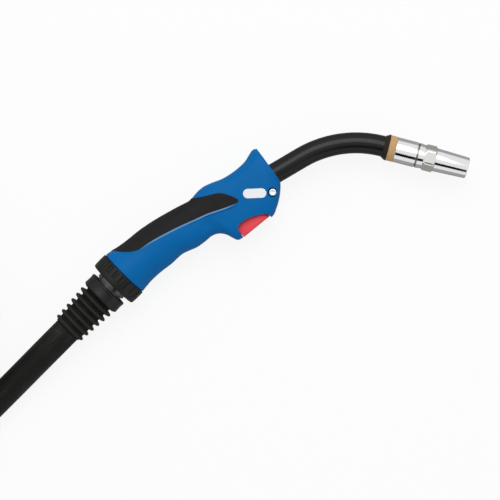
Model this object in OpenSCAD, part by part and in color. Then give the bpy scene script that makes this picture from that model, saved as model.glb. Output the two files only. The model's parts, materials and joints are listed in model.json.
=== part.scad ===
// MIG welding torch on a ball-jointed cable with a central connector, lying on its side.
//
// The handle frame has its origin at the centre of the ball joint, X along the cable axis
// towards the nozzle, Y towards the back of the hand and Z towards the side that faces up.
// The finished part is moved so that it stands on z = 0 below the middle of the torch.

/* [Ball joint] */
// Diameter of the ball
ball_d = 35; // [34:0.25:36]
// Diameter of the neck between the ball and the cuff
ball_neck_d = 30; // [27:0.5:30.5]
// Bore through the ball for the cable core
ball_bore = 23; // [22:0.25:24]
// Distance from the centre of the ball to the cuff
ball_reach = 16.5; // [16:0.5:20]
// Play between the ball and its seat
ball_play = 0.3; // [0.2:0.05:0.4]
// Thickness of the seat ring at the widest part of the ball
seat_wall = 1.15; // [1:0.05:1.6]
// Thickness of the socket sleeve round the seat
sleeve_wall = 1.4; // [1.2:0.1:2]
// Height of the sleeve's thread
thread_h = 1.2; // [0.8:0.1:1.6]

/* [Ring nut] */
// Thickness of the ring nut over the thread
nut_wall = 2.3; // [2:0.1:3.5]
// Length of the ring nut
nut_l = 14; // [13.5:0.25:15]
// Number of finger notches round the ring nut
nut_notches = 20; // [12:1:24]
// Diameter of a finger notch
notch_d = 3.2; // [2:0.2:4]

/* [Cable support] */
// Diameter of the cuff
cuff_d = 38.6; // [34:0.2:40]
// Length of the cuff
cuff_l = 12.5; // [10:0.5:18]
// Diameter of the bend boot's first rib
boot_front_d = 36.4; // [32:0.2:38]
// Diameter of the bend boot's last rib
boot_rear_d = 31.6; // [30:0.2:34]
// Number of ribs on the bend boot
boot_ribs = 6; // [4:1:8]
// Distance from one rib to the next
rib_pitch = 6.5; // [5.5:0.25:8]
// Wall of the boot between its ribs
boot_wall = 1; // [0.8:0.1:1.6]

/* [Cable] */
// Diameter of the covered cable
cable_d = 25; // [24:0.25:25.5]
// Diameter of the bare cable core inside the boot and the handle
core_d = 19.4; // [17:0.2:20]
// Radius of the coil's inner turns, to the middle of the cable
coil_turn_r = 110; // [106:1:112]
// Thickness of the straps that tie the coil
strap_t = 1.2; // [0.8:0.1:2]
// Width of a strap
strap_w = 22; // [15:1:30]

/* [Handle] */
// Wall of the two handle shells
shell_wall = 2.4; // [2:0.1:2.8]
// Depth of the recess that a grip inlay fills
inlay_depth = 1.2; // [0.8:0.1:1.4]
// How far a grip inlay stands proud of the shell
inlay_proud = 0.3; // [0.1:0.05:0.5]
// Half of the handle's thickness along the grip
grip_half = 17.6; // [17:0.1:19]
// Half of the handle's thickness at the trigger
housing_half = 16.5; // [16:0.1:18]

/* [Closing screw] */
// Diameter of the screw's head
screw_head_d = 7.2; // [6.4:0.1:8]
// Height of the screw's head
screw_head_h = 2.4; // [1.8:0.1:3]
// Diameter of the screw's shank
screw_d = 4; // [3:0.1:4.4]
// Play round the screw's head in its recess
screw_play = 0.7; // [0.4:0.1:1]

/* [Trigger] */
// Width of the trigger
trigger_w = 20; // [16.4:0.2:20.4]
// Width of the trigger's ear at its hinge
trigger_ear_w = 12; // [10:0.5:13]
// Diameter of the trigger's hinge pin
trigger_pin_d = 3; // [2.5:0.1:3.4]
// Running play of the trigger on its pin
pin_play = 0.05; // [0.02:0.01:0.09]
// Diameter of the return spring
spring_d = 4.4; // [3.6:0.1:5]
// Diameter of the spring's wire
spring_wire_d = 0.7; // [0.5:0.05:0.8]
// Number of turns of the spring
spring_turns = 6; // [4:1:7]

/* [Microswitch] */
// Length of the switch body
switch_l = 12.8; // [10:0.2:14]
// Height of the switch body
switch_h = 6.5; // [5:0.1:7]
// Thickness of the switch body
switch_t = 5.8; // [4:0.1:8]
// Diameter of the switch's plunger
plunger_d = 2.4; // [1.6:0.1:3]
// Diameter of a control lead
lead_d = 2; // [1.4:0.1:2.4]

/* [Swan neck] */
// Diameter of the neck's outer sleeve
neck_d = 19; // [18:0.25:20]
// Diameter of the current-carrying tube inside the sleeve
conductor_d = 14; // [12:0.25:15]
// Bore of the current-carrying tube
conductor_bore = 7; // [5.5:0.25:8]
// Angle at which the neck leaves the handle
neck_exit = 14.5; // [13:0.25:16]
// Bend of the neck
neck_bend = 45; // [30:1:50]
// Radius of the bend, to the middle of the neck
neck_radius = 97; // [80:1:110]
// Straight length between the handle and the bend
neck_straight = 24; // [15:1:40]
// Straight length after the bend
neck_nose = 4.8; // [4:0.2:12]
// Length of the flared collar at the neck's end
collar_l = 4.2; // [3:0.1:4.5]
// Diameter of the flared collar
collar_d = 24; // [22.5:0.25:25]
// Diameter of the wire liner
liner_d = 4.4; // [3.6:0.1:4.8]
// Bore of the wire liner
liner_bore = 2; // [1.6:0.1:2.4]

/* [Gas nozzle] */
// Length of the gas nozzle
nozzle_l = 67; // [60:1:85]
// Diameter of the nozzle's rear sleeve
nozzle_rear_d = 22.8; // [22:0.1:24]
// Diameter of the nozzle at its mouth
nozzle_mouth_d = 19; // [18.6:0.1:20]
// Bore of the nozzle's mouth
mouth_bore = 16; // [15:0.1:16.4]
// Depth of the narrower bore at the mouth
mouth_depth = 5; // [3:0.5:8]
// How far the contact tip stays behind the mouth
tip_recess = 5.5; // [5.2:0.1:8]
// Width of the hexagonal wrench collar across its flats
wrench_af = 21.8; // [21.4:0.1:22.4]
// Length of the wrench collar
wrench_l = 11; // [8:0.5:14]
// Width of the turned groove
groove_w = 1.7; // [1:0.1:3]
// Depth of the turned groove
groove_depth = 0.7; // [0.3:0.05:1]
// Diameter of the insulator ring
insulator_d = 23.2; // [22.5:0.1:24]
// Length of the insulator ring that shows
insulator_l = 6.5; // [4:0.25:10]

/* [Contact tip and holder] */
// Diameter of the contact tip
tip_d = 10; // [8:0.25:10.5]
// Length of the contact tip
tip_l = 34; // [28:1:38]
// Bore of the contact tip, for 1.2 mm wire
tip_bore = 1.3; // [1.25:0.01:1.35]
// Diameter of the tip holder
holder_d = 13; // [11.5:0.25:14]
// Number of gas holes in the tip holder
gas_holes = 8; // [4:1:10]
// Diameter of a gas hole
gas_hole_d = 1.8; // [1:0.1:2.4]

/* [Connector] */
// Diameter of the connector's housing
housing_d = 50; // [47:0.5:54]
// Length of the connector's housing
housing_l = 60; // [50:1:75]
// Wall of the connector's housing
housing_wall = 3; // [2:0.25:4]
// Diameter of the union nut
union_d = 49; // [46:0.5:49.5]
// Length of the union nut
union_l = 26; // [22:0.5:32]
// Diameter of the brass plug body
plug_d = 34; // [30:0.5:36]
// Diameter of the gas and wire inlet tube
inlet_d = 10; // [9:0.25:11]
// Length of the inlet tube in front of the plug
inlet_l = 24; // [18:0.5:32]
// Bore of the inlet tube
inlet_bore = 4.6; // [4:0.1:5.5]
// Diameter of a control pin
control_pin_d = 4; // [3:0.1:5]
// Distance of a control pin from the middle of the plug
control_pin_r = 11; // [9.5:0.25:12]
// Length of a control pin in front of the plug
control_pin_l = 6; // [4.5:0.25:8]

/* [Hidden] */

round_fn = 96;
small_fn = 48;
over = 1;          // how far a cut runs past the face that it opens
seat_play = 0.05;  // running play of the seat ring in its sleeve
thread_play = 0.1; // play between the ring nut and the sleeve's thread

// Ball joint and ring nut, outwards from the centre of the ball
ball_r = ball_d / 2;
seat_bore_r = ball_r + ball_play;
seat_r = seat_bore_r + seat_wall;
sleeve_bore_r = seat_r + seat_play;
sleeve_r = sleeve_bore_r + sleeve_wall;
thread_r = sleeve_r + thread_h;
nut_r = thread_r + thread_play + nut_wall;
nut_front = 2.5;                 // front face of the ring nut, where the handle starts
nut_rear = nut_front - nut_l;
nut_lip = 5.5;                   // thickness of the lip that holds the seat
nut_round = 2.6;                 // radius of the nut's rear shoulder
lip_front = nut_rear + nut_lip;
lip_clear = 1.3;                 // room round the neck at full tilt
seat_front = 9;
sleeve_front = 10.6;
sleeve_rim_r = sqrt(pow(seat_bore_r, 2) - pow(seat_front, 2)) + 0.2;
key_x = 4;                       // ring on the sleeve that keys it into the shells
key_l = 2;
key_h = 1.1;
ball_front = 10;                 // where the ball is cut off in front
bore_flare = 1.6;                // how much wider the ball's bore is in front

// Cuff, boot and cable core, backwards from the ball
cuff_front = -ball_reach;
cuff_rear = cuff_front - cuff_l;
cuff_round = 2.4;
stub_d = 24.6;                   // part of the ball's neck that screws into the cuff
stub_l = 9;
boot_lead = 4.5;                 // from the cuff to the middle of the first rib
boot_tail = 3;                   // from the middle of the last rib to the boot's rear face
rib_crest = 1.6;
rib_base = 3.8;
boot_rear = cuff_rear - boot_lead - (boot_ribs - 1) * rib_pitch - boot_tail;
boot_valley_r = cable_d / 2 + boot_wall;
cable_play = 0.1;
cable_grip = 6;                  // how deep the cable's cover sits in the boot
ball_tilt = 12;                  // how far the joint tilts each way
core_start = -3;                 // rear end of the core that belongs to the handle
core_end = core_d / 2 * sin(ball_tilt) - core_start * cos(ball_tilt);
core_gap = 0.5;

// Grip: [top x, top y, bottom x, bottom y, half thickness, squareness] of each section
grip_sections = [
  [nut_front, nut_r - 0.5, nut_front, 0.7 - nut_r, nut_r - 0.6, 2],
  [9, nut_r - 1.7, 9, 1.4 - nut_r, nut_r - 2, 2],
  [16, nut_r - 3.4, 17, 1.9 - nut_r, nut_r - 3.8, 2],
  [26, 19, 28, -22.7, grip_half + 1, 2.1],
  [38, 17.8, 39, -24.2, grip_half + 0.2, 2.2],
  [50, 15.7, 51, -24.7, grip_half, 2.3],
  [60, 13.4, 58, -26.8, grip_half, 2.4],
  [69, 10.9, 66, -29.9, grip_half - 0.3, 2.6],
  [78, 8.3, 75, -31.4, grip_half - 0.6, 2.8],
];
// Trigger housing, in the same form
housing_sections = [
  [85, 6, 82, -32, housing_half + 0.3, 3],
  [90, 4.5, 87, -34, housing_half, 3.2],
  [94, 4.6, 90.5, -37.2, housing_half - 0.2, 3.3],
  [98, 5, 93, -41.5, housing_half - 0.3, 3.4],
  [102, 5.2, 94.6, -47, housing_half - 0.3, 3.5],
  [106, 4.9, 96.6, -51.3, housing_half - 0.2, 3.6],
  [110, 4.1, 101, -52.8, housing_half, 3.6],
  [117, 1.4, 112, -54, housing_half, 3.6],
  [125, -2.2, 124, -55.8, housing_half, 3.6],
  [134, -4.5, 134, -58.2, housing_half, 3.5],
  [143, -5.7, 142, -55.2, housing_half - 0.2, 3.3],
  [151, -5.7, 149, -51.3, housing_half - 0.6, 3],
  [157.5, -4.2, 154.5, -47.2, housing_half - 1.3, 2.8],
  [163, -3.3, 158.5, -43.5, housing_half - 2.1, 2.6],
  [166.3, -5, 160.5, -41.2, housing_half - 3, 2.5],
];
sections = concat(grip_sections, housing_sections);
section_steps = 2;               // rings from one section to the next
half_slices = 10;                // faces round half of a section
front_sections = 4;              // sections at the front that stay solid round the neck
inlay_end = 6;                   // sections at the front that no inlay reaches

// Outline of a grip inlay, seen from the side; its top runs past the handle's back
inlay_outline = [[11, 26], [14, 16.5], [19, 10.6], [25.5, 6.2], [34, 3], [44, 1], [54, -1.5],
  [64, -4.5], [74, -8], [84, -11.8], [94, -15.5], [104, -20.5], [112, -24.4], [119.5, -27.4],
  [121.4, -25], [120.8, -21.5], [117, -13.6], [113, -8.8], [106, -4.4], [99, 0.2], [93.4, 5],
  [92, 12], [60, 30]];

// Trigger and its arched opening
hinge = [134.5, -51.6];
arch = [[101.4, -64], [101.7, -53], [102.7, -46.4], [104.7, -43.3], [108, -42.3], [113, -42.9],
  [119, -45], [125, -48.2], [130.4, -52.4], [132.4, -55.6], [132.4, -64]];
trigger_outline = [[102.7, -53.3], [131.4, -56.3], [131.7, -54.2], [137, -53.9], [137, -49.2],
  [131, -48.6], [125.5, -45.2], [119, -42.3], [115.4, -40.6], [110.6, -40.6], [109.6, -40],
  [103.9, -39.2], [103.2, -45]];
trigger_edge = 3.2;              // rounding of the finger face's long edges
trigger_skin = 1.8;
finger_face_y = -56.6;
ear_x = 129.5;                   // where the trigger narrows to its ear
pad_x = 113;                     // where the trigger meets the plunger
pad_y = -40.6;
plunger_gap = 0.3;
pocket = [116, 128];             // hollow behind the finger face
pocket_y = -51;
spring_x = 107;
spring_bottom = -46.5;
spring_top = -31.5;
spring_room = 0.5;
post_half = 2.2;                 // half width of the post that holds the spring's inner end
post_h = 3;
pin_half_l = 12.4;

// Microswitch, above the trigger's pad
switch_y = -36.2;
switch_x = 109.5;
peg_d = 1.6;
peg_inset = 2.6;
peg_drop = 2.2;                  // from the switch's upper face down to the middle of its pegs

// Closing screw
screw_at = [148.5, -43];
screw_reach = 10;
screw_face = 12.6;               // height of the shell's face at the screw's recess

// Neck: the point where its axis leaves the handle's front, and what sits inside
neck_x = 165.9;
neck_y = -33.2;
socket_in = 34;                  // how far the neck's socket reaches into the handle
socket_l = 14;
socket_d = 25;
socket_flange_d = 27;
socket_flange_l = 3;
core_bend_l = neck_x + neck_y / tan(neck_exit) - core_start;
core_bend_r = core_bend_l / tan(neck_exit / 2);
fitting_in = -neck_y / sin(neck_exit) - core_bend_l;
fitting_l = 38;
fitting_af = 16.5;
fitting_nut_l = 14;
fitting_d = 15.6;
fitting_room = 0.5;              // room round the fitting where the shells close on it
conductor_in = fitting_in - fitting_l + fitting_nut_l / 2;

// Nozzle, from the neck's end towards the mouth
conductor_nose = 9;              // length of the tube in front of the neck's end
tip_socket = 8;                  // how deep the tip screws into its holder
tip_rear = insulator_l + nozzle_l - tip_recess - tip_l;
holder_l = tip_rear + tip_socket - conductor_nose;
spigot_l = 9;
spigot_play = 0.05;
nozzle_bore = 18.8;
inner_bore = 17.2;
groove_x = 19.2;
wrench_x = 26;
turned_d = 23.4;                 // diameter to which the hexagon's corners are turned
waist_d = 21.2;
step_l = 2;
lip_round = 0.7;

// Coil and its straps
pitch = cable_d;
coil_low = strap_t;
coil_mid_r = coil_turn_r + pitch / 2;
coil_half = pitch;
coil_x = -241;
coil_y = coil_turn_r + pitch;
strap_angles = [20, 140, 260];
strap_room = 0.8;
cable_sides = 12;

// Cable route in the handle frame, away from the coil; the floor is at -24
run_route = [[-63, 0, 0], [-75, 0, -0.1], [-88, 0, -0.8], [-102, 0, -2.6], [-118, 0, -5.6],
  [-134, 0, -8.2], [-150, 0, -9.8], [-168, 0, -10.3], [-200, 0, -10.3]];
tail_route = [[-196, 270, 9.6], [-184, 270, 6.6], [-172, 270, 3.9], [-160, 270, 1.9], [-150, 270, 1.1],
  [-142, 270, 1], [-110, 270, 1]];
lead_route = [[110.8, -33], [104, -33], [97, -30.6], [88, -26.4], [78, -21.6], [68, -17.8],
  [58, -14.6], [52, -12.6], [46, -10.4]];

// Connector, from the rear face of its boot
connector_x = -150;
connector_y = coil_y + coil_turn_r + pitch;
connector_z = housing_d / 2 - nut_r;
con_boot_l = 40;
con_boot_ribs = 4;
con_boot_front_d = 38;
con_boot_rear_d = 31;
con_round = 4;
flute_count = 12;
flute_d = 9;
plug_rear = con_boot_l + 22;
plug_front = con_boot_l + housing_l + 6;
union_rear = con_boot_l + housing_l + 0.4;
union_bore = 40;
union_floor = 5;
union_play = 0.1;
flange_d = 38.6;
flange_l = 4;
carrier_d = 29;
carrier_depth = 8;
carrier_face = 1.2;
pin_head_d = 6;
pin_head_l = 2;
pin_travel = 3;
pin_room = pin_head_l + pin_travel + 5;
inlet_in = 26;
o_ring_d = 1.8;
o_ring_x = 17;
con_screw_d = 3;
con_screw_head_d = 5.4;
con_screw_head_h = 1.6;
con_screw_sink = 1;
con_screw_l = 12;
con_screw_x = 14;

// Where the middle of the standing torch is
mouth_x = neck_nose + insulator_l + nozzle_l;
nozzle_angle = neck_exit + neck_bend;
neck_dir = [cos(neck_exit), -sin(neck_exit)];
nozzle_dir = [cos(nozzle_angle), -sin(nozzle_angle)];
bend_start = [neck_x, neck_y] + neck_straight * neck_dir;
bend_end = bend_start + neck_radius
  * [sin(nozzle_angle) - sin(neck_exit), cos(nozzle_angle) - cos(neck_exit)];
mouth = bend_end + mouth_x * nozzle_dir;
front_x = mouth[0] - lip_round * nozzle_dir[0] + nozzle_mouth_d / 2 * sin(nozzle_angle);
low_y = mouth[1] - (nozzle_mouth_d / 2 - lip_round) * cos(nozzle_angle);
middle = [(boot_rear + front_x) / 2, (nut_r + low_y) / 2, -nut_r];

// ---------------------------------------------------------------- helpers

module stand() {
  translate(-middle) children();
}

// A turned piece: the profile's x is the radius and its y runs along the handle's X
module turned(angle = 360) {
  rotate([90, 0, 90]) rotate_extrude(angle = angle, $fn = round_fn) children();
}

module rod(from, to, d, fn = round_fn) {
  translate([from, 0, 0]) rotate([0, 90, 0]) cylinder(d = d, h = to - from, $fn = fn);
}

module taper(from, to, d_from, d_to) {
  translate([from, 0, 0]) rotate([0, 90, 0]) cylinder(d1 = d_from, d2 = d_to, h = to - from, $fn = round_fn);
}

module slot_box(from, to, w, h) {
  translate([from, -w / 2, -h / 2]) cube([to - from, w, h]);
}

module rounded_square(low, high, r) {
  translate([low[0] + r, low[1]]) square([high[0] - low[0] - 2 * r, high[1] - low[1]]);
  translate([low[0], low[1] + r]) square([high[0] - low[0], high[1] - low[1] - 2 * r]);
  for (x = [low[0] + r, high[0] - r])
    for (y = [low[1] + r, high[1] - r])
      translate([x, y]) circle(r = r, $fn = small_fn);
}

function spline(a, b, c, d, t) = 0.5 * (2 * b + (c - a) * t
  + (2 * a - 5 * b + 4 * c - d) * t * t + (3 * b - a - 3 * c + d) * t * t * t);

function pick(list, i) = list[max(0, min(len(list) - 1, i))];

function smooth(list, steps) = [
  for (i = [0 : len(list) - 2])
    for (k = [0 : steps - 1])
      spline(pick(list, i - 1), pick(list, i), pick(list, i + 1), pick(list, i + 2), k / steps),
  list[len(list) - 1]
];

// One section of the handle: a superellipse between its lower edge and its back
function section_ring(s, inset) =
  let (top = [s[0], s[1]], bottom = [s[2], s[3]], centre = (top + bottom) / 2,
    up = (top - bottom) / norm(top - bottom), h = norm(top - bottom) / 2 - inset, w = s[4] - inset)
  [for (k = [0 : 2 * half_slices - 1])
    let (a = 180 * (k + 0.5) / half_slices, c = cos(a), q = sin(a),
      along = -sign(c) * h * pow(abs(c), 2 / s[5]), out = sign(q) * w * pow(abs(q), 2 / s[5]))
    [centre[0] + along * up[0], centre[1] + along * up[1], out]];

// A solid through closed rings of points
module loft(rings) {
  n = len(rings[0]);
  last = (len(rings) - 1) * n;
  points = [for (ring = rings) for (p = ring) p];
  strip = [for (i = [0 : n : last - n]) for (k = [0 : n - 1])
    for (face = [[i + k, i + (k + 1) % n, i + n + (k + 1) % n], [i + k, i + n + (k + 1) % n, i + n + k]])
      face];
  caps = [[for (k = [n - 1 : -1 : 0]) k], [for (k = [0 : n - 1]) last + k]];
  polyhedron(points, concat(strip, caps));
}

// The handle's outer form, shrunk by inset, without its last sections
module handle_form(inset = 0, leave = 0, steps = section_steps) {
  rings = smooth(sections, steps);
  loft([for (i = [0 : len(rings) - 1 - leave * steps]) section_ring(rings[i], inset)]);
}

// All that lies on one side of the joint between the shells
module on_side(side) {
  intersection() {
    children();
    translate([0, -4 * nut_r, side > 0 ? 0 : -2 * nut_r]) cube([8 * nut_r, 6 * nut_r, 2 * nut_r]);
  }
}

// A round tube swept along a route of points
function along_route(route, i) =
  let (step = pick(route, i + 1) - pick(route, i - 1)) step / norm(step);

function route_ring(route, i, r, sides) =
  let (t = along_route(route, i), side = cross([0, 0, 1], t) / norm(cross([0, 0, 1], t)), up = cross(t, side))
  [for (k = [0 : sides - 1]) route[i] + r * (cos(360 * k / sides) * side + sin(360 * k / sides) * up)];

module swept(route, d, sides) {
  loft([for (i = [0 : len(route) - 1]) route_ring(route, i, d / 2, sides)]);
}

module at_neck() {
  translate([neck_x, neck_y, 0]) rotate([0, 0, -neck_exit]) children();
}

module at_bend() {
  at_neck() translate([neck_straight, -neck_radius, 0]) children();
}

// The frame of the nozzle: X along its axis, from the end of the neck's bend
module at_nose() {
  at_bend() rotate([0, 0, -neck_bend]) translate([0, neck_radius, 0]) children();
}

// A straight length of tube along X
module pipe(from, to, d, bore) {
  turned() translate([bore / 2, from]) square([(d - bore) / 2, to - from]);
}

// A tube that follows the neck's axis
module neck_tube(d, bore, rear, front) {
  at_neck() pipe(-rear, neck_straight, d, bore);
  at_bend() rotate([0, 0, 90 - neck_bend]) rotate_extrude(angle = neck_bend, $fn = round_fn)
    translate([neck_radius, 0]) difference() {
      circle(d = d, $fn = small_fn);
      circle(d = bore, $fn = small_fn);
    }
  at_nose() pipe(0, front, d, bore);
}

module at_connector() {
  translate([connector_x, connector_y, connector_z]) children();
}

// Profile of a ribbed boot whose front face is at x = 0
module boot_profile(bore_d, valley_d, front_d, rear_d, ribs, lead, tail) {
  crest = [for (k = [0 : ribs - 1]) front_d / 2 + (rear_d - front_d) / 2 * k / (ribs - 1)];
  at_rib = [for (k = [0 : ribs - 1]) -lead - k * rib_pitch];
  rear = at_rib[ribs - 1] - tail;
  polygon(concat(
    [[bore_d / 2, 0], [valley_d / 2, 0]],
    [for (k = [0 : ribs - 1]) for (p = [[valley_d / 2, rib_base / 2], [crest[k], rib_crest / 2],
      [crest[k], -rib_crest / 2], [valley_d / 2, -rib_base / 2]]) [p[0], at_rib[k] + p[1]]],
    [[valley_d / 2, rear], [bore_d / 2, rear]]));
}

// ---------------------------------------------------------------- ball joint

module ball() {
  color("dimgray") difference() {
    union() {
      intersection() {
        sphere(r = ball_r, $fn = round_fn);
        slot_box(-ball_r, ball_front, ball_d, ball_d);
      }
      rod(cuff_front, -ball_r / 2, ball_neck_d);
      rod(cuff_front - stub_l, cuff_front, stub_d);
    }
    rod(cuff_front - stub_l - over, ball_front + over, ball_bore);
    taper(0, ball_front, ball_bore, ball_bore + 2 * bore_flare);
  }
}

module ball_seat() {
  color("ivory") turned() difference() {
    translate([0, lip_front + seat_play]) square([seat_r, seat_front - lip_front - seat_play]);
    circle(r = seat_bore_r, $fn = round_fn);
  }
}

module socket_sleeve() {
  color("slategray") difference() {
    union() {
      rod(lip_front + 2 * seat_play, nut_front - seat_play, 2 * thread_r);
      rod(nut_front - seat_play, sleeve_front, 2 * sleeve_r);
      rod(key_x, key_x + key_l, 2 * (sleeve_r + key_h));
    }
    rod(lip_front - over, seat_front + seat_play, 2 * sleeve_bore_r);
    rod(seat_front, sleeve_front + over, 2 * sleeve_rim_r);
  }
}

module ring_nut() {
  mouth_r = ball_neck_d / 2 + 2 * lip_clear;
  color([0.14, 0.14, 0.14]) difference() {
    turned() difference() {
      rounded_square([mouth_r - nut_wall, nut_rear], [nut_r, nut_front + nut_round], nut_round);
      translate([0, nut_front]) square([nut_r + over, nut_round + over]);
    }
    taper(nut_rear - over, lip_front, 2 * (mouth_r + lip_clear), 2 * mouth_r);
    rod(lip_front, nut_front + over, 2 * (thread_r + thread_play));
    for (k = [0 : nut_notches - 1])
      rotate([360 * (k + 0.5) / nut_notches, 0, 0]) translate([0, nut_r + notch_d / 4, 0])
        rod(nut_rear + nut_round + notch_d / 4, nut_front + over, notch_d, small_fn);
  }
}

module cable_cuff() {
  color([0.2, 0.2, 0.2]) difference() {
    turned() rounded_square([core_d / 2 - cuff_round, cuff_rear], [cuff_d / 2, cuff_front], cuff_round);
    rod(cuff_rear - over, cuff_front + over, core_d + 2 * cable_play);
    rod(cuff_front - stub_l, cuff_front + over, stub_d);
  }
}

module bend_boot() {
  color([0.1, 0.1, 0.09]) difference() {
    turned() translate([0, cuff_rear]) boot_profile(core_d + 2 * cable_play, 2 * boot_valley_r,
      boot_front_d, boot_rear_d, boot_ribs, boot_lead, boot_tail);
    rod(boot_rear - over, boot_rear + cable_grip, cable_d + 2 * cable_play);
  }
}

module cable_core_rear() {
  color([0.2, 0.2, 0.22]) rod(boot_rear + cable_grip, -core_end - core_gap, core_d);
}

// ---------------------------------------------------------------- handle

module shell_half(side) {
  difference() {
    on_side(side) difference() {
      handle_form();
      handle_form(shell_wall, front_sections, 1);
    }
    rod(nut_front - over, sleeve_front, 2 * (sleeve_r + thread_play));
    rod(key_x - seat_play, key_x + key_l + seat_play, 2 * (sleeve_r + key_h + thread_play));
    difference() {
      linear_extrude(2 * nut_r, center = true) polygon(inlay_outline);
      handle_form(inlay_depth, inlay_end);
    }
    linear_extrude(2 * nut_r, center = true) polygon(arch);
    at_neck() {
      rod(-socket_in - over, neck_straight, neck_d);
      rod(-socket_in - over, socket_l - socket_in, socket_d);
      rod(-socket_in - over, socket_flange_l - socket_in, socket_flange_d);
      rod(-fitting_in, -fitting_in + fitting_l + fitting_room, fitting_af / cos(30) + 2 * fitting_room);
    }
    translate([hinge[0], hinge[1], -pin_half_l])
      cylinder(d = trigger_pin_d, h = 2 * pin_half_l, $fn = small_fn);
    translate([screw_at[0], screw_at[1], -screw_reach])
      cylinder(d = screw_d, h = 3 * screw_reach, $fn = small_fn);
  }
}

module handle_shell_right() {
  color([0.03, 0.38, 0.66]) difference() {
    shell_half(1);
    translate([screw_at[0], screw_at[1], screw_face - screw_head_h])
      cylinder(d = screw_head_d + 2 * screw_play, h = housing_half, $fn = small_fn);
  }
}

module handle_shell_left() {
  color([0.03, 0.38, 0.66]) {
    shell_half(-1);
    for (x = [switch_x + peg_inset, switch_x + switch_l - peg_inset])
      translate([x, switch_y + switch_h - peg_drop, -housing_half + shell_wall / 2])
        cylinder(d = peg_d, h = housing_half - shell_wall / 2 + switch_t / 2, $fn = small_fn);
    translate([spring_x - post_half, spring_top, -housing_half + shell_wall / 2])
      cube([2 * post_half, post_h, housing_half + spring_d / 2]);
  }
}

module grip_inlay(side) {
  color([0.16, 0.15, 0.15]) intersection() {
    difference() {
      handle_form(-inlay_proud, inlay_end);
      handle_form(inlay_depth, inlay_end);
    }
    translate([0, 0, side > 0 ? 0 : -2 * nut_r]) linear_extrude(2 * nut_r) polygon(inlay_outline);
  }
}

module grip_inlay_right() {
  grip_inlay(1);
}

module grip_inlay_left() {
  grip_inlay(-1);
}

module shell_screw() {
  color("silver") translate([screw_at[0], screw_at[1], 0]) difference() {
    union() {
      translate([0, 0, -screw_reach])
        cylinder(d = screw_d, h = screw_face - screw_head_h + screw_reach, $fn = small_fn);
      translate([0, 0, screw_face - screw_head_h])
        cylinder(d = screw_head_d, h = screw_head_h, $fn = small_fn);
    }
    translate([0, 0, screw_face - screw_head_h / 2]) cylinder(d = screw_d * 0.8, h = screw_head_h, $fn = 6);
  }
}

// ---------------------------------------------------------------- trigger and switch

module trigger() {
  color([0.92, 0.3, 0.34]) difference() {
    intersection() {
      linear_extrude(trigger_w, center = true) polygon(trigger_outline);
      rotate([90, 0, 90]) linear_extrude(hinge[0] + trigger_w) trigger_section();
    }
    for (side = [-1, 1])
      translate([ear_x, -3 * trigger_w, side > 0 ? trigger_ear_w / 2 : -trigger_w])
        cube([trigger_w, 2 * trigger_w, trigger_w - trigger_ear_w / 2]);
    translate([pocket[0], pocket_y, trigger_skin - trigger_ear_w / 2])
      cube([pocket[1] - pocket[0], trigger_w, trigger_ear_w - 2 * trigger_skin]);
    translate([spring_x, spring_bottom, 0]) rotate([-90, 0, 0])
      cylinder(d = spring_d + 2 * spring_room, h = spring_top - spring_bottom, $fn = small_fn);
    translate([hinge[0], hinge[1], -trigger_w])
      cylinder(d = trigger_pin_d + 2 * pin_play, h = 2 * trigger_w, $fn = small_fn);
  }
}

// Section across the trigger: its sides and the finger face with rounded edges
module trigger_section() {
  half = trigger_w / 2;
  low = finger_face_y;
  translate([low + trigger_edge, -half]) square([-low, trigger_w]);
  translate([low, trigger_edge - half]) square([trigger_edge + over, trigger_w - 2 * trigger_edge]);
  for (side = [-1, 1])
    translate([low + trigger_edge, side * (half - trigger_edge)]) circle(r = trigger_edge, $fn = small_fn);
}

module trigger_pin() {
  color("silver") translate([hinge[0], hinge[1], -pin_half_l])
    cylinder(d = trigger_pin_d, h = 2 * pin_half_l, $fn = small_fn);
}

module trigger_spring() {
  turns_l = spring_top - spring_bottom - spring_wire_d;
  rings = 8 * spring_turns;
  coil_r = (spring_d - spring_wire_d) / 2;
  start = spring_bottom + spring_wire_d / 2;
  route = [for (k = [0 : rings])
    [spring_x + coil_r * cos(45 * k), start + turns_l * k / rings, coil_r * sin(45 * k)]];
  color("silver") swept(route, spring_wire_d, 6);
}

module microswitch() {
  color([0.12, 0.12, 0.12]) difference() {
    translate([switch_x, switch_y, -switch_t / 2]) cube([switch_l, switch_h, switch_t]);
    for (x = [switch_x + peg_inset, switch_x + switch_l - peg_inset])
      translate([x, switch_y + switch_h - peg_drop, -switch_t])
        cylinder(d = peg_d, h = 2 * switch_t, $fn = small_fn);
    translate([pad_x, switch_y - over, 0]) rotate([-90, 0, 0])
      cylinder(d = plunger_d + 2 * pin_play, h = switch_h / 2 + over, $fn = small_fn);
  }
}

module switch_plunger() {
  color([0.8, 0.2, 0.2]) translate([pad_x, pad_y + plunger_gap, 0]) rotate([-90, 0, 0])
    cylinder(d = plunger_d, h = switch_y - pad_y, $fn = small_fn);
}

module switch_leads() {
  lead_z = (switch_t + lead_d) / 2 - pin_play;
  color("gold") for (side = [-1, 1])
    swept([for (p = lead_route) [p[0], p[1], side * lead_z]], lead_d, 8);
}

// ---------------------------------------------------------------- inside the handle

// The core runs from the ball to the power fitting in one wide bend
module cable_core_front() {
  color([0.2, 0.2, 0.22]) translate([core_start, -core_bend_r, 0]) rotate([0, 0, 90 - neck_exit])
    rotate_extrude(angle = neck_exit, $fn = 4 * round_fn)
      translate([core_bend_r, 0]) circle(d = core_d, $fn = small_fn);
}

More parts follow.
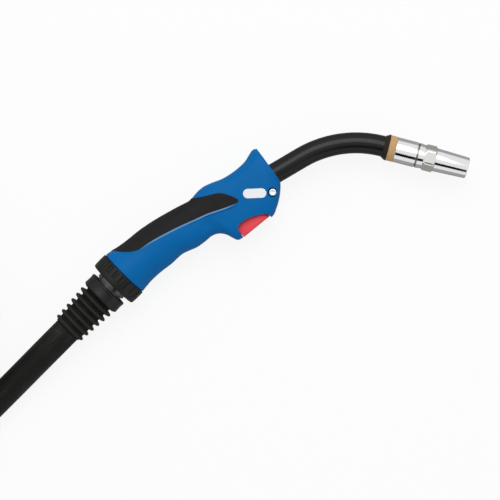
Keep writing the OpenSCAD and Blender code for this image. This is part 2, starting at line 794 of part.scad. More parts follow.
module power_fitting() {
  color("goldenrod") at_neck() difference() {
    union() {
      rod(-fitting_in + seat_play, -fitting_in + fitting_l, fitting_d);
      translate([-fitting_in + fitting_l - fitting_nut_l, 0, 0]) rotate([0, 90, 0])
        cylinder(d = fitting_af / cos(30), h = fitting_nut_l, $fn = 6);
    }
    rod(-conductor_in, 0, conductor_d);
    rod(-fitting_in - over, 0, conductor_bore);
  }
}

module neck_socket() {
  color("dimgray") at_neck() difference() {
    union() {
      rod(-socket_in, -socket_in + socket_l, socket_d);
      rod(-socket_in, -socket_in + socket_flange_l, socket_flange_d);
    }
    rod(-socket_in - over, 0, neck_d);
  }
}

// ---------------------------------------------------------------- neck and nozzle

module neck_sleeve() {
  color([0.15, 0.15, 0.14]) neck_tube(neck_d, conductor_d, socket_in, neck_nose);
}

module neck_conductor() {
  color("peru") neck_tube(conductor_d, conductor_bore, conductor_in, neck_nose + conductor_nose);
}

module wire_liner() {
  color("silver") neck_tube(liner_d, liner_bore, conductor_in + fitting_nut_l, neck_nose + tip_rear);
}

module neck_collar() {
  color([0.12, 0.11, 0.1]) at_nose() difference() {
    taper(neck_nose - collar_l, neck_nose, neck_d + 1, collar_d);
    rod(-over, neck_nose + over, neck_d);
  }
}

module nozzle_insulator() {
  rear = neck_nose;
  front = neck_nose + insulator_l;
  color([0.78, 0.62, 0.4]) at_nose() difference() {
    union() {
      rod(rear, front, insulator_d);
      rod(front, front + spigot_l, nozzle_bore - 2 * spigot_play);
    }
    rod(rear - over, front + spigot_l + over, conductor_d);
  }
}

module gas_nozzle() {
  rear_r = nozzle_rear_d / 2;
  wrench_end = wrench_x + wrench_l;
  color([0.82, 0.82, 0.83]) at_nose() translate([neck_nose + insulator_l, 0, 0]) difference() {
    union() {
      turned() polygon([[inner_bore / 2, 0], [rear_r - 0.4, 0], [rear_r, 0.4], [rear_r, groove_x],
        [rear_r - groove_depth, groove_x], [rear_r - groove_depth, groove_x + groove_w],
        [rear_r, groove_x + groove_w], [waist_d / 2 + 0.2, wrench_x], [waist_d / 2, wrench_end],
        [nozzle_mouth_d / 2, nozzle_l - lip_round], [nozzle_mouth_d / 2 - lip_round, nozzle_l],
        [mouth_bore / 2 + 0.1, nozzle_l], [mouth_bore / 2, nozzle_l - 0.1],
        [mouth_bore / 2, nozzle_l - mouth_depth], [inner_bore / 2, nozzle_l - mouth_depth]]);
      intersection() {
        translate([wrench_x, 0, 0]) rotate([0, 90, 0]) rotate([0, 0, 30])
          cylinder(d = wrench_af / cos(30), h = wrench_l, $fn = 6);
        turned() polygon([[inner_bore / 2, wrench_x], [waist_d / 2 + 0.3, wrench_x],
          [turned_d / 2, wrench_x + step_l], [turned_d / 2, wrench_end - step_l / 2],
          [waist_d / 2, wrench_end], [inner_bore / 2, wrench_end]]);
      }
    }
    rod(-over, spigot_l + over, nozzle_bore);
  }
}

module tip_holder() {
  color("goldenrod") at_nose() translate([neck_nose + conductor_nose, 0, 0]) difference() {
    union() {
      rod(0, holder_l * 0.6, holder_d);
      taper(holder_l * 0.6, holder_l, holder_d, tip_d + 1.6);
    }
    rod(-over, holder_l * 0.55, conductor_bore);
    rod(0, holder_l + over, liner_d + 0.4);
    rod(holder_l - tip_socket, holder_l + over, tip_d * 0.8);
    for (k = [0 : gas_holes - 1])
      rotate([360 * k / gas_holes, 0, 0]) translate([holder_l * 0.45, 0, 0])
        cylinder(d = gas_hole_d, h = holder_d, $fn = small_fn);
  }
}

module contact_tip() {
  front = neck_nose + insulator_l + nozzle_l - tip_recess;
  color("chocolate") at_nose() translate([front, 0, 0]) difference() {
    union() {
      rod(-tip_l, tip_socket - tip_l, tip_d * 0.8);
      rod(tip_socket - tip_l, -tip_l * 0.25, tip_d);
      taper(-tip_l * 0.25, 0, tip_d, tip_d * 0.62);
    }
    rod(-tip_l - over, over, tip_bore);
    taper(-tip_l - over, -tip_l * 0.6, liner_bore * 1.2, tip_bore);
  }
}

// ---------------------------------------------------------------- cable

module cable_run() {
  color([0.13, 0.13, 0.13]) swept(run_route, cable_d, cable_sides);
}

module cable_tail() {
  color([0.13, 0.13, 0.13]) swept(tail_route, cable_d, cable_sides);
}

module cable_coil() {
  color([0.13, 0.13, 0.13]) translate([coil_x, coil_y, -nut_r + coil_low])
    rotate_extrude($fn = 2 * round_fn)
      rounded_square([coil_mid_r - coil_half, 0], [coil_mid_r + coil_half, 2 * coil_half], pitch / 2);
}

module coil_straps() {
  inner = coil_half + strap_room;
  outer = inner + strap_t;
  color("dimgray") translate([coil_x, coil_y, -nut_r]) for (a = strap_angles)
    rotate([0, 0, a]) translate([coil_mid_r, strap_w / 2, 0]) rotate([90, 0, 0])
      linear_extrude(strap_w) difference() {
        rounded_square([-outer, 0], [outer, 2 * coil_half + 2 * strap_t], pitch / 2);
        rounded_square([-inner, strap_t], [inner, 2 * coil_half + strap_t], pitch / 2 - strap_room);
      }
}

// ---------------------------------------------------------------- connector

module connector_boot() {
  color([0.1, 0.1, 0.1]) at_connector() turned() translate([0, con_boot_l])
    boot_profile(cable_d + 2 * cable_play, cable_d + 4 * boot_wall, con_boot_front_d, con_boot_rear_d,
      con_boot_ribs, con_boot_l - boot_tail - (con_boot_ribs - 1) * rib_pitch, boot_tail);
}

module connector_shell() {
  start = con_boot_l;
  end = con_boot_l + housing_l;
  inner_d = housing_d - 2 * housing_wall;
  color([0.1, 0.1, 0.1]) at_connector() difference() {
    turned() difference() {
      rounded_square([con_round, start], [housing_d / 2, end + con_round], con_round);
      translate([0, end]) square([housing_d, 2 * con_round]);
    }
    rod(start + housing_wall, plug_rear, inner_d);
    rod(plug_rear - over, end + over, plug_d);
    rod(start - over, start + 2 * housing_wall, core_d);
    for (k = [0 : flute_count - 1])
      rotate([360 * (k + 0.5) / flute_count, 0, 0]) translate([0, housing_d / 2 + flute_d * 0.38, 0])
        rod(start + 2 * con_round, end - con_round, flute_d, small_fn);
    at_con_screws() {
      cylinder(d = con_screw_d, h = con_screw_l, $fn = small_fn);
      translate([0, 0, con_screw_l - con_screw_head_h - con_screw_sink])
        cylinder(d = con_screw_head_d, h = con_screw_l, $fn = small_fn);
    }
  }
}

module at_con_screws() {
  for (a = [0, 180])
    rotate([a, 0, 0]) translate([con_boot_l + housing_l - con_screw_x, 0, housing_d / 2 - con_screw_l])
      children();
}

module connector_screws() {
  color("silver") at_connector() at_con_screws() {
    cylinder(d = con_screw_d, h = con_screw_l - con_screw_head_h - con_screw_sink, $fn = small_fn);
    translate([0, 0, con_screw_l - con_screw_head_h - con_screw_sink])
      cylinder(d = con_screw_head_d, h = con_screw_head_h, $fn = small_fn);
  }
}

module plug_body() {
  color("goldenrod") at_connector() difference() {
    union() {
      rod(plug_rear, plug_front + flange_l, plug_d);
      rod(plug_front, plug_front + flange_l, flange_d);
    }
    rod(plug_front + flange_l - carrier_depth, plug_front + flange_l + over, carrier_d);
    rod(plug_rear - over, plug_front, inlet_d);
    for (side = [-1, 1])
      translate([0, 0, side * control_pin_r])
        rod(plug_front + flange_l - carrier_depth - pin_room, plug_front,
          pin_head_d + 2 * pin_play, small_fn);
    at_con_screws() cylinder(d = con_screw_d, h = con_screw_l, $fn = small_fn);
  }
}

module contact_carrier() {
  front = plug_front + flange_l;
  color([0.7, 0.2, 0.15]) at_connector() difference() {
    rod(front - carrier_depth, front + carrier_face, carrier_d);
    rod(front - carrier_depth - over, front + carrier_face + over, inlet_d);
    for (side = [-1, 1])
      translate([0, 0, side * control_pin_r])
        rod(front - carrier_depth - over, front + carrier_face + over,
          control_pin_d + 2 * pin_play, small_fn);
  }
}

module inlet_tube() {
  front = plug_front + flange_l + inlet_l;
  color("goldenrod") at_connector() difference() {
    rod(front - inlet_l - inlet_in, front, inlet_d);
    rod(front - inlet_l - inlet_in - over, front + over, inlet_bore);
    turned() translate([inlet_d / 2, plug_front + flange_l + o_ring_x]) circle(d = o_ring_d, $fn = small_fn);
  }
}

module inlet_o_ring() {
  color([0.05, 0.05, 0.05]) at_connector() turned()
    translate([inlet_d / 2, plug_front + flange_l + o_ring_x]) circle(d = o_ring_d, $fn = small_fn);
}

module union_nut() {
  end = union_rear + union_l;
  color([0.12, 0.12, 0.12]) at_connector() difference() {
    turned() rounded_square([plug_d / 2 - con_round, union_rear], [union_d / 2, end], con_round / 2);
    rod(union_rear - over, end + over, plug_d + 2 * union_play);
    rod(union_rear + union_floor, end + over, union_bore);
    for (k = [0 : flute_count - 1])
      rotate([360 * k / flute_count, 0, 0]) translate([0, union_d / 2 + flute_d * 0.38, 0])
        rod(union_rear + con_round, end + over, flute_d, small_fn);
  }
}

module control_pin(side) {
  front = plug_front + flange_l + carrier_face;
  inner = plug_front + flange_l - carrier_depth;
  color("gold") at_connector() translate([0, 0, side * control_pin_r]) {
    rod(inner, front + control_pin_l, control_pin_d, small_fn);
    rod(inner - pin_head_l, inner, pin_head_d, small_fn);
  }
}

module control_pin_upper() {
  control_pin(1);
}

module control_pin_lower() {
  control_pin(-1);
}

stand() {
  ball();
  cable_cuff();
  bend_boot();
  cable_core_rear();
  ball_seat();
  ring_nut();
  socket_sleeve();
  handle_shell_right();
  handle_shell_left();
  grip_inlay_right();
  grip_inlay_left();
  shell_screw();
  trigger();
  trigger_pin();
  trigger_spring();
  microswitch();
  switch_plunger();
  switch_leads();
  cable_core_front();
  power_fitting();
  neck_socket();
  neck_sleeve();
  neck_conductor();
  wire_liner();
  neck_collar();
  nozzle_insulator();
  gas_nozzle();
  tip_holder();
  contact_tip();
  cable_run();
  cable_coil();
  cable_tail();
  coil_straps();
  connector_boot();
  connector_shell();
  connector_screws();
  union_nut();
  plug_body();
  contact_carrier();
  inlet_tube();
  inlet_o_ring();
  control_pin_upper();
  control_pin_lower();
}
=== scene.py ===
"""Studio scene of a MIG welding torch on its ball-jointed, coiled cable."""

from __future__ import annotations

import json
import logging
import math
from dataclasses import dataclass, field
from enum import Enum
from typing import Callable, Sequence

import bmesh
import bpy
from bpy.types import Object
from mathutils import Matrix, Vector


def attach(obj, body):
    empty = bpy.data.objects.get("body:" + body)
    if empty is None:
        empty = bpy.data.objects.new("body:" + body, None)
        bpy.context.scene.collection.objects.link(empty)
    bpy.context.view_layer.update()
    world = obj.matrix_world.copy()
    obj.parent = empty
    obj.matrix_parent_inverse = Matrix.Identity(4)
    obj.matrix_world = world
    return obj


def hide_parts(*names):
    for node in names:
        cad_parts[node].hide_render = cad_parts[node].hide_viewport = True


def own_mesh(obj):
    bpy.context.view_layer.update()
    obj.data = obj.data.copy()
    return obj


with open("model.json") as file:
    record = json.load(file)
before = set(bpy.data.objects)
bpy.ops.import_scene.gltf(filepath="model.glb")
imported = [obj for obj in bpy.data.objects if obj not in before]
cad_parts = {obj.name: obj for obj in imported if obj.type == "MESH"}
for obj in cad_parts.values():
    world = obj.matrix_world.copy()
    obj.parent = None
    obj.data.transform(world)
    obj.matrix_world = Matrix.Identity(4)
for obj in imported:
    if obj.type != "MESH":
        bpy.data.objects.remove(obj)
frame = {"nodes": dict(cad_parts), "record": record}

log = logging.getLogger("torch")

# A millimetre in metres, how near two points are when they become one, and the angle past
# which an edge stays sharp
MM = 0.001
WELD = 1e-4
SHARP = 35.0
# The faces round a turned piece, round one with notches or a thread, round a notch and round a
# wire, and the steps in one turn of a coil
AROUND = 96
FINE_AROUND = 120
NOTCH_AROUND = 24
WIRE_AROUND = 10
COIL_STEPS = 24
Colour = tuple[float, float, float, float]
Pair = tuple[float, float]
Outline = Sequence[Pair]
Corners = Sequence[tuple[float, float, float]]
Shape = Callable[[float, float, float], float]


def joint_place(name: str) -> Vector:
    """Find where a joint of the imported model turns.

    Args:
        name: The joint's name.

    Returns:
        Its point at rest, in metres.
    """
    joints = frame["record"]["behaviour"]["joints"]
    return Vector(next(joint["pos_m"] for joint in joints if joint["name"] == name))


def turn_about(axis: str, degrees: float) -> Matrix:
    """Return a turn about an axis."""
    return Matrix.Rotation(math.radians(degrees), 4, axis)


def shift(x: float, y: float = 0.0, z: float = 0.0) -> Matrix:
    """Return a move."""
    return Matrix.Translation((x, y, z))


OWN = Matrix.Identity(4)
UP = Vector((0.0, 0.0, 1.0))
# The neck leaves the handle at NECK_EXIT degrees below its axis, and bends further down
NECK_EXIT = 14.5
NECK_BEND = 45.0
NECK_RADIUS = 97.0
NECK_STRAIGHT = 24.0
# How high the handle's axis lies above the surface
AXIS_HEIGHT = 24.0
# The frames of the pieces, in millimetres: X runs along each one's axis
HANDLE = Matrix.Translation(joint_place("cable_tilt")) @ Matrix.Scale(MM, 4)
NECK = HANDLE @ shift(165.9, -33.2) @ turn_about("Z", -NECK_EXIT)
BEND = NECK @ shift(NECK_STRAIGHT, -NECK_RADIUS)
NOSE = BEND @ turn_about("Z", -NECK_BEND) @ shift(0.0, NECK_RADIUS)
CONNECTOR = HANDLE @ shift(-150.0, 270.0, 1.0)


class Body(str, Enum):
    """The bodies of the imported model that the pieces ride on."""

    CABLE = "cable"
    TORCH = "torch"
    TRIGGER = "trigger"
    UNION = "union"


# ---------------------------------------------------------------- nodes


class Wire:
    """A socket of a node tree that adds Math nodes when it is used in a sum."""

    def __init__(self, bench: "Bench", socket: bpy.types.NodeSocket) -> None:
        """Keep the socket and the tree that it belongs to."""
        self.bench = bench
        self.socket = socket

    def _sum(self, operation: str, first: object, second: object) -> "Wire":
        """Add one Math node.

        Args:
            operation: The Math node's operation.
            first: Its first value or wire.
            second: Its second value or wire.

        Returns:
            The node's result.
        """
        sockets = {0: first, 1: second}
        return self.bench.add("ShaderNodeMath", {"operation": operation}, sockets)

    def __add__(self, other: object) -> "Wire":
        """Return self + other."""
        return self._sum("ADD", self, other)

    __radd__ = __add__

    def __sub__(self, other: object) -> "Wire":
        """Return self - other."""
        return self._sum("SUBTRACT", self, other)

    def __rsub__(self, other: object) -> "Wire":
        """Return other - self."""
        return self._sum("SUBTRACT", other, self)

    def __mul__(self, other: object) -> "Wire":
        """Return self * other."""
        return self._sum("MULTIPLY", self, other)

    __rmul__ = __mul__

    def __truediv__(self, other: object) -> "Wire":
        """Return self / other."""
        return self._sum("DIVIDE", self, other)

    def pick(self, name: str) -> "Wire":
        """Return another output of the same node."""
        return Wire(self.bench, self.socket.node.outputs[name])


class Bench:
    """The node tree of one finish or one shape."""

    def __init__(self, tree: bpy.types.NodeTree) -> None:
        """Empty the tree and keep it."""
        self.tree = tree
        tree.nodes.clear()

    def add(self, kind: str, settings: dict[str, object] | None = None,
            sockets: dict[str | int, object] | None = None, output: str | int = 0) -> Wire:
        """Add a node.

        Args:
            kind: The node's type.
            settings: Its properties, set first.
            sockets: Values or wires of its inputs, by name or place.
            output: The output that is wanted, by name or place.

        Returns:
            That output.
        """
        node = self.tree.nodes.new(kind)
        for name, value in (settings or {}).items():
            setattr(node, name, value)
        for name, value in (sockets or {}).items():
            if isinstance(value, Wire):
                self.tree.links.new(value.socket, node.inputs[name])
            else:
                node.inputs[name].default_value = value
        if not len(node.outputs):
            return Wire(self, node.inputs[0])
        return Wire(self, node.outputs[output])

    def mix(self, factor: object, first: object, second: object) -> Wire:
        """Mix two colours.

        Args:
            factor: The share of the second colour.
            first: The first colour.
            second: The second colour.

        Returns:
            The mixed colour.
        """
        sockets = {0: factor, 6: first, 7: second}
        return self.add("ShaderNodeMix", {"data_type": "RGBA"}, sockets, 2)

    def bump(self, strength: float, depth_mm: float, height: Wire) -> Wire:
        """Add a bump.

        Args:
            strength: Its strength.
            depth_mm: How deep it seems.
            height: The pattern of its height.

        Returns:
            The bumped normal.
        """
        sockets = {"Strength": strength, "Distance": depth_mm * MM, "Height": height}
        return self.add("ShaderNodeBump", None, sockets)

    def body(self, **looks: object) -> Wire:
        """Add the main shader, each of its sockets named with _ for a space."""
        sockets = {name.replace("_", " "): value for name, value in looks.items()}
        return self.add("ShaderNodeBsdfPrincipled", None, sockets)

    def noise(self, place: Wire, size_mm: float, detail: float = 2.0,
              rough: float = 0.5) -> Wire:
        """Add a noise pattern.

        Args:
            place: The coordinates that it reads, in metres.
            size_mm: The size of its blotches.
            detail: How much finer detail it has.
            rough: How strong that detail is.

        Returns:
            The pattern, from 0 to 1.
        """
        sockets = {"Vector": place, "Scale": 1.0 / (size_mm * MM), "Detail": detail,
                   "Roughness": rough}
        return self.add("ShaderNodeTexNoise", {"noise_dimensions": "3D"}, sockets)

    def window(self, value: Wire, low: float, high: float) -> Wire:
        """Return a smooth step of a value from low to high."""
        sockets = {"Value": value, "From Min": low, "From Max": high}
        return self.add("ShaderNodeMapRange", {"interpolation_type": "SMOOTHSTEP"}, sockets)


def tint(red: int, green: int, blue: int) -> Colour:
    """Turn a colour of a colour card into linear light.

    Args:
        red: Its red, from 0 to 255.
        green: Its green.
        blue: Its blue.

    Returns:
        The linear colour with full alpha.
    """
    parts = [value / 255 for value in (red, green, blue)]
    light = [p / 12.92 if p <= 0.04045 else ((p + 0.055) / 1.055) ** 2.4 for p in parts]
    return (light[0], light[1], light[2], 1.0)


def shade(colour: Colour, by: float) -> Colour:
    """Return a colour made lighter or darker by a factor."""
    return (*(min(1.0, part * by) for part in colour[:3]), 1.0)


# ---------------------------------------------------------------- finishes


WHITE: Colour = (1.0, 1.0, 1.0, 1.0)


@dataclass(frozen=True)
class Finish:
    """What all the finishes share."""

    name: str
    slot: str
    colour: Colour

    def material(self) -> bpy.types.Material:
        """Make the finish's material, or find the one made before.

        Returns:
            The material.
        """
        found = bpy.data.materials.get(self.name)
        if found:
            return found
        made = bpy.data.materials.new(self.name)
        made.use_nodes = True
        bench = Bench(made.node_tree)
        bench.add("ShaderNodeOutputMaterial", None, {"Surface": self.surface(bench)})
        return made

    def surface(self, bench: Bench) -> Wire:
        """Build the finish's shader on a bench."""
        raise NotImplementedError


@dataclass(frozen=True)
class Moulding(Finish):
    """Moulded plastic or rubber: a fine grain, slow changes of tone and a few scuffs."""

    roughness: float = 0.4
    specular: float = 0.5
    grain_mm: float = 0.35
    grain_depth_mm: float = 0.012
    mottle: float = 0.08
    mottle_mm: float = 22.0
    scuff: float = 0.25
    scuff_mm: float = 3.0
    scuffs_seen: Pair = (0.62, 0.78)
    scuff_cover: float = 0.35
    scuff_pale: float = 1.9
    rough_swing: tuple[float, float, float] = (0.08, 0.1, 0.12)

    def surface(self, bench: Bench) -> Wire:
        """Build the shader.

        Args:
            bench: The material's node tree.

        Returns:
            The shader's output.
        """
        place = bench.add("ShaderNodeTexCoord", output="Object")
        cloud = bench.noise(place, self.mottle_mm, detail=3.0)
        grain = bench.noise(place, self.grain_mm, detail=2.0, rough=0.6)
        flow = bench.noise(place, self.scuff_mm, detail=4.0, rough=0.65)
        scuffs = bench.window(flow, *self.scuffs_seen) * self.scuff
        dark, light = shade(self.colour, 1 - self.mottle), shade(self.colour, 1 + self.mottle)
        tone = bench.mix(cloud, dark, light)
        worn = bench.mix(scuffs * self.scuff_cover, tone, shade(self.colour, self.scuff_pale))
        by_cloud, by_grain, by_scuff = self.rough_swing
        rough = (self.roughness + (cloud - 0.5) * by_cloud + (grain - 0.5) * by_grain
                 + scuffs * by_scuff)
        bump = bench.bump(0.6, self.grain_depth_mm, grain)
        return bench.body(Base_Color=worn, Roughness=rough, Normal=bump,
                          Specular_IOR_Level=self.specular)


@dataclass(frozen=True)
class Metal(Finish):
    """Bare or plated metal with fine turning marks along one axis."""

    roughness: float = 0.2
    axis: tuple[float, float, float] = (1.0, 0.0, 0.0)
    mark_mm: float = 0.25
    mark_depth_mm: float = 0.002
    tarnish: Colour = (0.2, 0.15, 0.1, 1.0)
    tarnished: float = 0.1
    spot_mm: float = 9.0
    spots_seen: Pair = (0.55, 0.8)
    rough_swing: tuple[float, float, float] = (0.06, 0.08, 0.4)

    def surface(self, bench: Bench) -> Wire:
        """Build the shader.

        Args:
            bench: The material's node tree.

        Returns:
            The shader's output.
        """
        place = bench.add("ShaderNodeTexCoord", output="Object")
        along = bench.add("ShaderNodeVectorMath", {"operation": "DOT_PRODUCT"},
                          {0: place, 1: self.axis}, "Value")
        ring_place = bench.add("ShaderNodeCombineXYZ", None, {0: along})
        marks = bench.noise(ring_place, self.mark_mm, detail=3.0, rough=0.7)
        cloud = bench.noise(place, self.spot_mm, detail=4.0, rough=0.6)
        spots = bench.window(cloud, *self.spots_seen) * self.tarnished
        colour = bench.mix(spots, self.colour, self.tarnish)
        by_mark, by_cloud, by_spot = self.rough_swing
        rough = (self.roughness + (marks - 0.5) * by_mark + (cloud - 0.5) * by_cloud
                 + spots * by_spot)
        bump = bench.bump(0.5, self.mark_depth_mm, marks)
        return bench.body(Base_Color=colour, Metallic=1.0, Roughness=rough, Normal=bump)


@dataclass(frozen=True)
class Jacket(Finish):
    """The cable's rubber cover, with drawn streaks along its length and dust in them."""

    roughness: float = 0.5
    specular: float = 0.08
    streak_mm: float = 1.6
    streak_run: tuple[float, float, float] = (0.06, 1.0, 1.0)
    grain_mm: float = 0.5
    grain_depth_mm: float = 0.02
    cloud_mm: float = 30.0
    dust: Colour = tint(92, 90, 86)
    dust_seen: Pair = (0.3, 0.5)
    dust_cover: float = 0.35
    tones: Pair = (0.85, 1.2)
    streak_share: float = 0.7
    rough_swing: Pair = (0.2, 0.2)

    def surface(self, bench: Bench) -> Wire:
        """Build the shader.

        Args:
            bench: The material's node tree.

        Returns:
            The shader's output.
        """
        lay = bench.add("ShaderNodeUVMap", {"uv_map": "jacket"})
        place = bench.add("ShaderNodeTexCoord", output="Object")
        drawn = bench.add("ShaderNodeVectorMath", {"operation": "MULTIPLY"},
                          {0: lay, 1: self.streak_run})
        streaks = bench.noise(drawn, self.streak_mm, detail=3.0, rough=0.6)
        grain = bench.noise(place, self.grain_mm, detail=2.0, rough=0.6)
        cloud = bench.noise(place, self.cloud_mm, detail=3.0)
        dust = bench.window(cloud * streaks, *self.dust_seen) * self.dust_cover
        dark, light = (shade(self.colour, by) for by in self.tones)
        tone = bench.mix(streaks, dark, light)
        colour = bench.mix(dust, tone, self.dust)
        by_streak, by_dust = self.rough_swing
        rough = self.roughness + (streaks - 0.5) * by_streak + dust * by_dust
        height = streaks * self.streak_share + grain * (1.0 - self.streak_share)
        bump = bench.bump(0.5, self.grain_depth_mm, height)
        return bench.body(Base_Color=colour, Roughness=rough, Normal=bump,
                          Specular_IOR_Level=self.specular)


@dataclass(frozen=True)
class Webbing(Finish):
    """Woven strap: two crossed sets of threads."""

    thread_mm: float = 0.9
    threads_drawn: float = 6.0
    wander: float = 0.3
    fuzz_mm: float = 0.3
    weave_share: float = 0.7
    weave_depth_mm: float = 0.12
    tones: Pair = (0.55, 1.5)
    roughness: float = 0.85

    def surface(self, bench: Bench) -> Wire:
        """Build the shader.

        Args:
            bench: The material's node tree.

        Returns:
            The shader's output.
        """
        place = bench.add("ShaderNodeTexCoord", output="Object")
        threads = {"Vector": place, "Scale": 1.0 / (self.thread_mm * MM) / self.threads_drawn,
                   "Distortion": self.wander, "Detail": 1.0}
        warp = bench.add("ShaderNodeTexWave", {"wave_type": "RINGS", "rings_direction": "Z"},
                         threads)
        weft = bench.add("ShaderNodeTexWave", {"bands_direction": "Z"}, threads)
        cloth = warp.pick("Fac") * 0.5 + weft.pick("Fac") * 0.5
        fuzz = bench.noise(place, self.fuzz_mm)
        dark, light = (shade(self.colour, by) for by in self.tones)
        worn = cloth * self.weave_share + fuzz * (1.0 - self.weave_share)
        colour = bench.mix(worn, dark, light)
        bump = bench.bump(0.8, self.weave_depth_mm, cloth)
        return bench.body(Base_Color=colour, Roughness=self.roughness, Normal=bump)


@dataclass(frozen=True)
class StudioFloor(Finish):
    """The pale floor, which keeps a part of the torch's shadow."""

    white: float = 0.88
    mirrored: float = 0.12

    def surface(self, bench: Bench) -> Wire:
        """Build the shader.

        Args:
            bench: The material's node tree.

        Returns:
            The shader's output.
        """
        rays = bench.add("ShaderNodeLightPath")
        mirrored = rays.pick("Is Glossy Ray") + rays.pick("Is Transmission Ray")
        share = rays.pick("Is Camera Ray") * self.white + mirrored * self.mirrored
        lit = bench.add("ShaderNodeBsdfDiffuse", None, {"Color": self.colour})
        white = bench.add("ShaderNodeEmission", None, {"Color": WHITE, "Strength": 1.0})
        return bench.add("ShaderNodeMixShader", None, {0: share, 1: lit, 2: white})


BLUE = Moulding("shell_blue", "blue_shell", tint(7, 104, 172), roughness=0.45, specular=0.06,
                mottle=0.05, grain_depth_mm=0.01, scuff=0.12)
# The rim under the inlay is coloured a light blue: a painted highlight where light catches its
# ridge
RIM_HIGHLIGHT_BLUE = Moulding("rim_painted_highlight_blue", "blue_shell", tint(100, 148, 196), roughness=0.4,
                    specular=0.1, mottle=0.04, scuff=0.1)
INLAY = Moulding("grip_soft_black", "inlay_rubber", tint(32, 31, 32), roughness=0.58,
                 specular=0.1, grain_mm=0.5, grain_depth_mm=0.03, mottle=0.12, scuff=0.3)
CORAL = Moulding("trigger_coral", "trigger_red", tint(246, 82, 92), roughness=0.36, specular=0.12,
                 mottle=0.04, scuff=0.12)
NUT_BLACK = Moulding("nut_black", "black_plastic", tint(26, 25, 24), roughness=0.42, specular=0.2,
                     mottle=0.1, scuff=0.3)
BALL_GREY = Moulding("ball_dark_grey", "ball_grey", tint(26, 26, 26), roughness=0.26,
                     specular=0.95, mottle=0.06, scuff=0.2)
CUFF_BLACK = Moulding("cuff_black", "black_plastic", tint(22, 22, 22), roughness=0.4,
                      specular=0.25, mottle=0.1, scuff=0.3)
# One rubber in two tones: the tube between the ribs is darker as painted shade in the valleys, and
# the ribs are lighter as painted light on their crests
BOOT_VALLEY_SHADE = Moulding("boot_rubber_painted_valley_shade", "cable_rubber", tint(20, 20, 19), roughness=0.5,
                      specular=0.08, mottle=0.12, scuff=0.25)
RIB_PAINTED_LIGHT = Moulding("boot_rib_rubber_painted_light", "cable_rubber", tint(42, 41, 39), roughness=0.5,
                     specular=0.1, mottle=0.12, scuff=0.3)
CABLE_BLACK = Jacket("cable_jacket", "cable_rubber", tint(28, 28, 27))
SLEEVE_BLACK = Moulding("neck_sleeve_black", "neck_black", tint(16, 15, 14), roughness=0.26,
                        specular=0.22, mottle=0.08, scuff=0.15)
COLLAR_BLACK = Moulding("neck_collar_black", "neck_black", tint(36, 24, 18), roughness=0.45,
                        specular=0.2)
TAN = Moulding("insulator_tan", "insulator_tan", tint(214, 174, 122), roughness=0.5, specular=0.2,
               grain_mm=0.6, mottle=0.14, mottle_mm=5.0, scuff=0.3, scuff_mm=2.0)
NOZZLE_AXIS = (NOSE.to_3x3() @ Vector((1.0, 0.0, 0.0))).normalized()
CHROME = Metal("nozzle_chrome", "nozzle_chrome", tint(236, 235, 232), roughness=0.09,
               axis=tuple(NOZZLE_AXIS), tarnish=tint(150, 140, 120), tarnished=0.08)
FLAT_CHROME = Metal("wrench_flat_chrome", "nozzle_chrome", tint(216, 215, 210), roughness=0.12,
                    axis=tuple(NOZZLE_AXIS), tarnish=tint(150, 140, 120), tarnished=0.12)
# The groove's floor band is made dark through a large tarnish share: painted shade in the nozzle's
# groove
GROOVE_SHADE_GREY = Metal("nozzle_groove_painted_shade", "nozzle_chrome", tint(128, 124, 116), roughness=0.3,
                  axis=tuple(NOZZLE_AXIS), mark_mm=0.5, tarnish=tint(60, 54, 44), tarnished=0.8)
COPPER = Metal("tip_copper", "copper", tint(205, 120, 80), roughness=0.28,
               axis=tuple(NOZZLE_AXIS), tarnish=tint(110, 60, 40), tarnished=0.3)
BRASS = Metal("turned_brass", "brass", tint(214, 178, 96), roughness=0.22,
              tarnish=tint(130, 95, 45), tarnished=0.2)
STEEL = Metal("bright_steel", "steel", tint(205, 207, 208), roughness=0.2,
              tarnish=tint(120, 118, 115))
SCREW_STEEL = Metal("screw_steel", "steel", tint(206, 209, 209), roughness=0.25,
                    axis=(0.7, 0.7, 0.0))
GOLD = Metal("gilt_contact", "brass", tint(235, 200, 120), roughness=0.16)
LABEL_WHITE = Moulding("plate_white", "seat_ivory", tint(240, 242, 244), roughness=0.35,
                       mottle=0.01, grain_depth_mm=0.005, scuff=0.05)
IVORY = Moulding("seat_ivory_plastic", "seat_ivory", tint(222, 214, 196), roughness=0.4)
CORE_GREY = Moulding("core_grey_rubber", "core_grey", tint(70, 70, 72), roughness=0.55)
SWITCH_BLACK = Moulding("switch_black_plastic", "switch_black", tint(30, 30, 32), roughness=0.4)
CARRIER_RED = Moulding("carrier_red_plastic", "carrier_red", tint(170, 42, 34), roughness=0.35)
SEAL_BLACK = Moulding("seal_rubber", "cable_rubber", tint(18, 18, 18), roughness=0.4)
LEAD_YELLOW = Moulding("lead_cover", "lead_insulation", tint(196, 160, 50), roughness=0.45)
STRAP_BLACK = Webbing("strap_webbing", "strap_black", tint(46, 46, 48))
CARD_BLACK = Moulding("card_black", "", tint(8, 8, 8), roughness=0.9, specular=0.0)
# The grey card stands for the floor's shadow under the nozzle: painted shade that only reflections
# show
CARD_FLOOR_SHADE = Moulding("card_floor_shade", "", tint(182, 182, 182), roughness=0.9, specular=0.0)
FLOOR = StudioFloor("studio_floor", "", (0.95, 0.95, 0.95, 1.0))


# ---------------------------------------------------------------- meshes


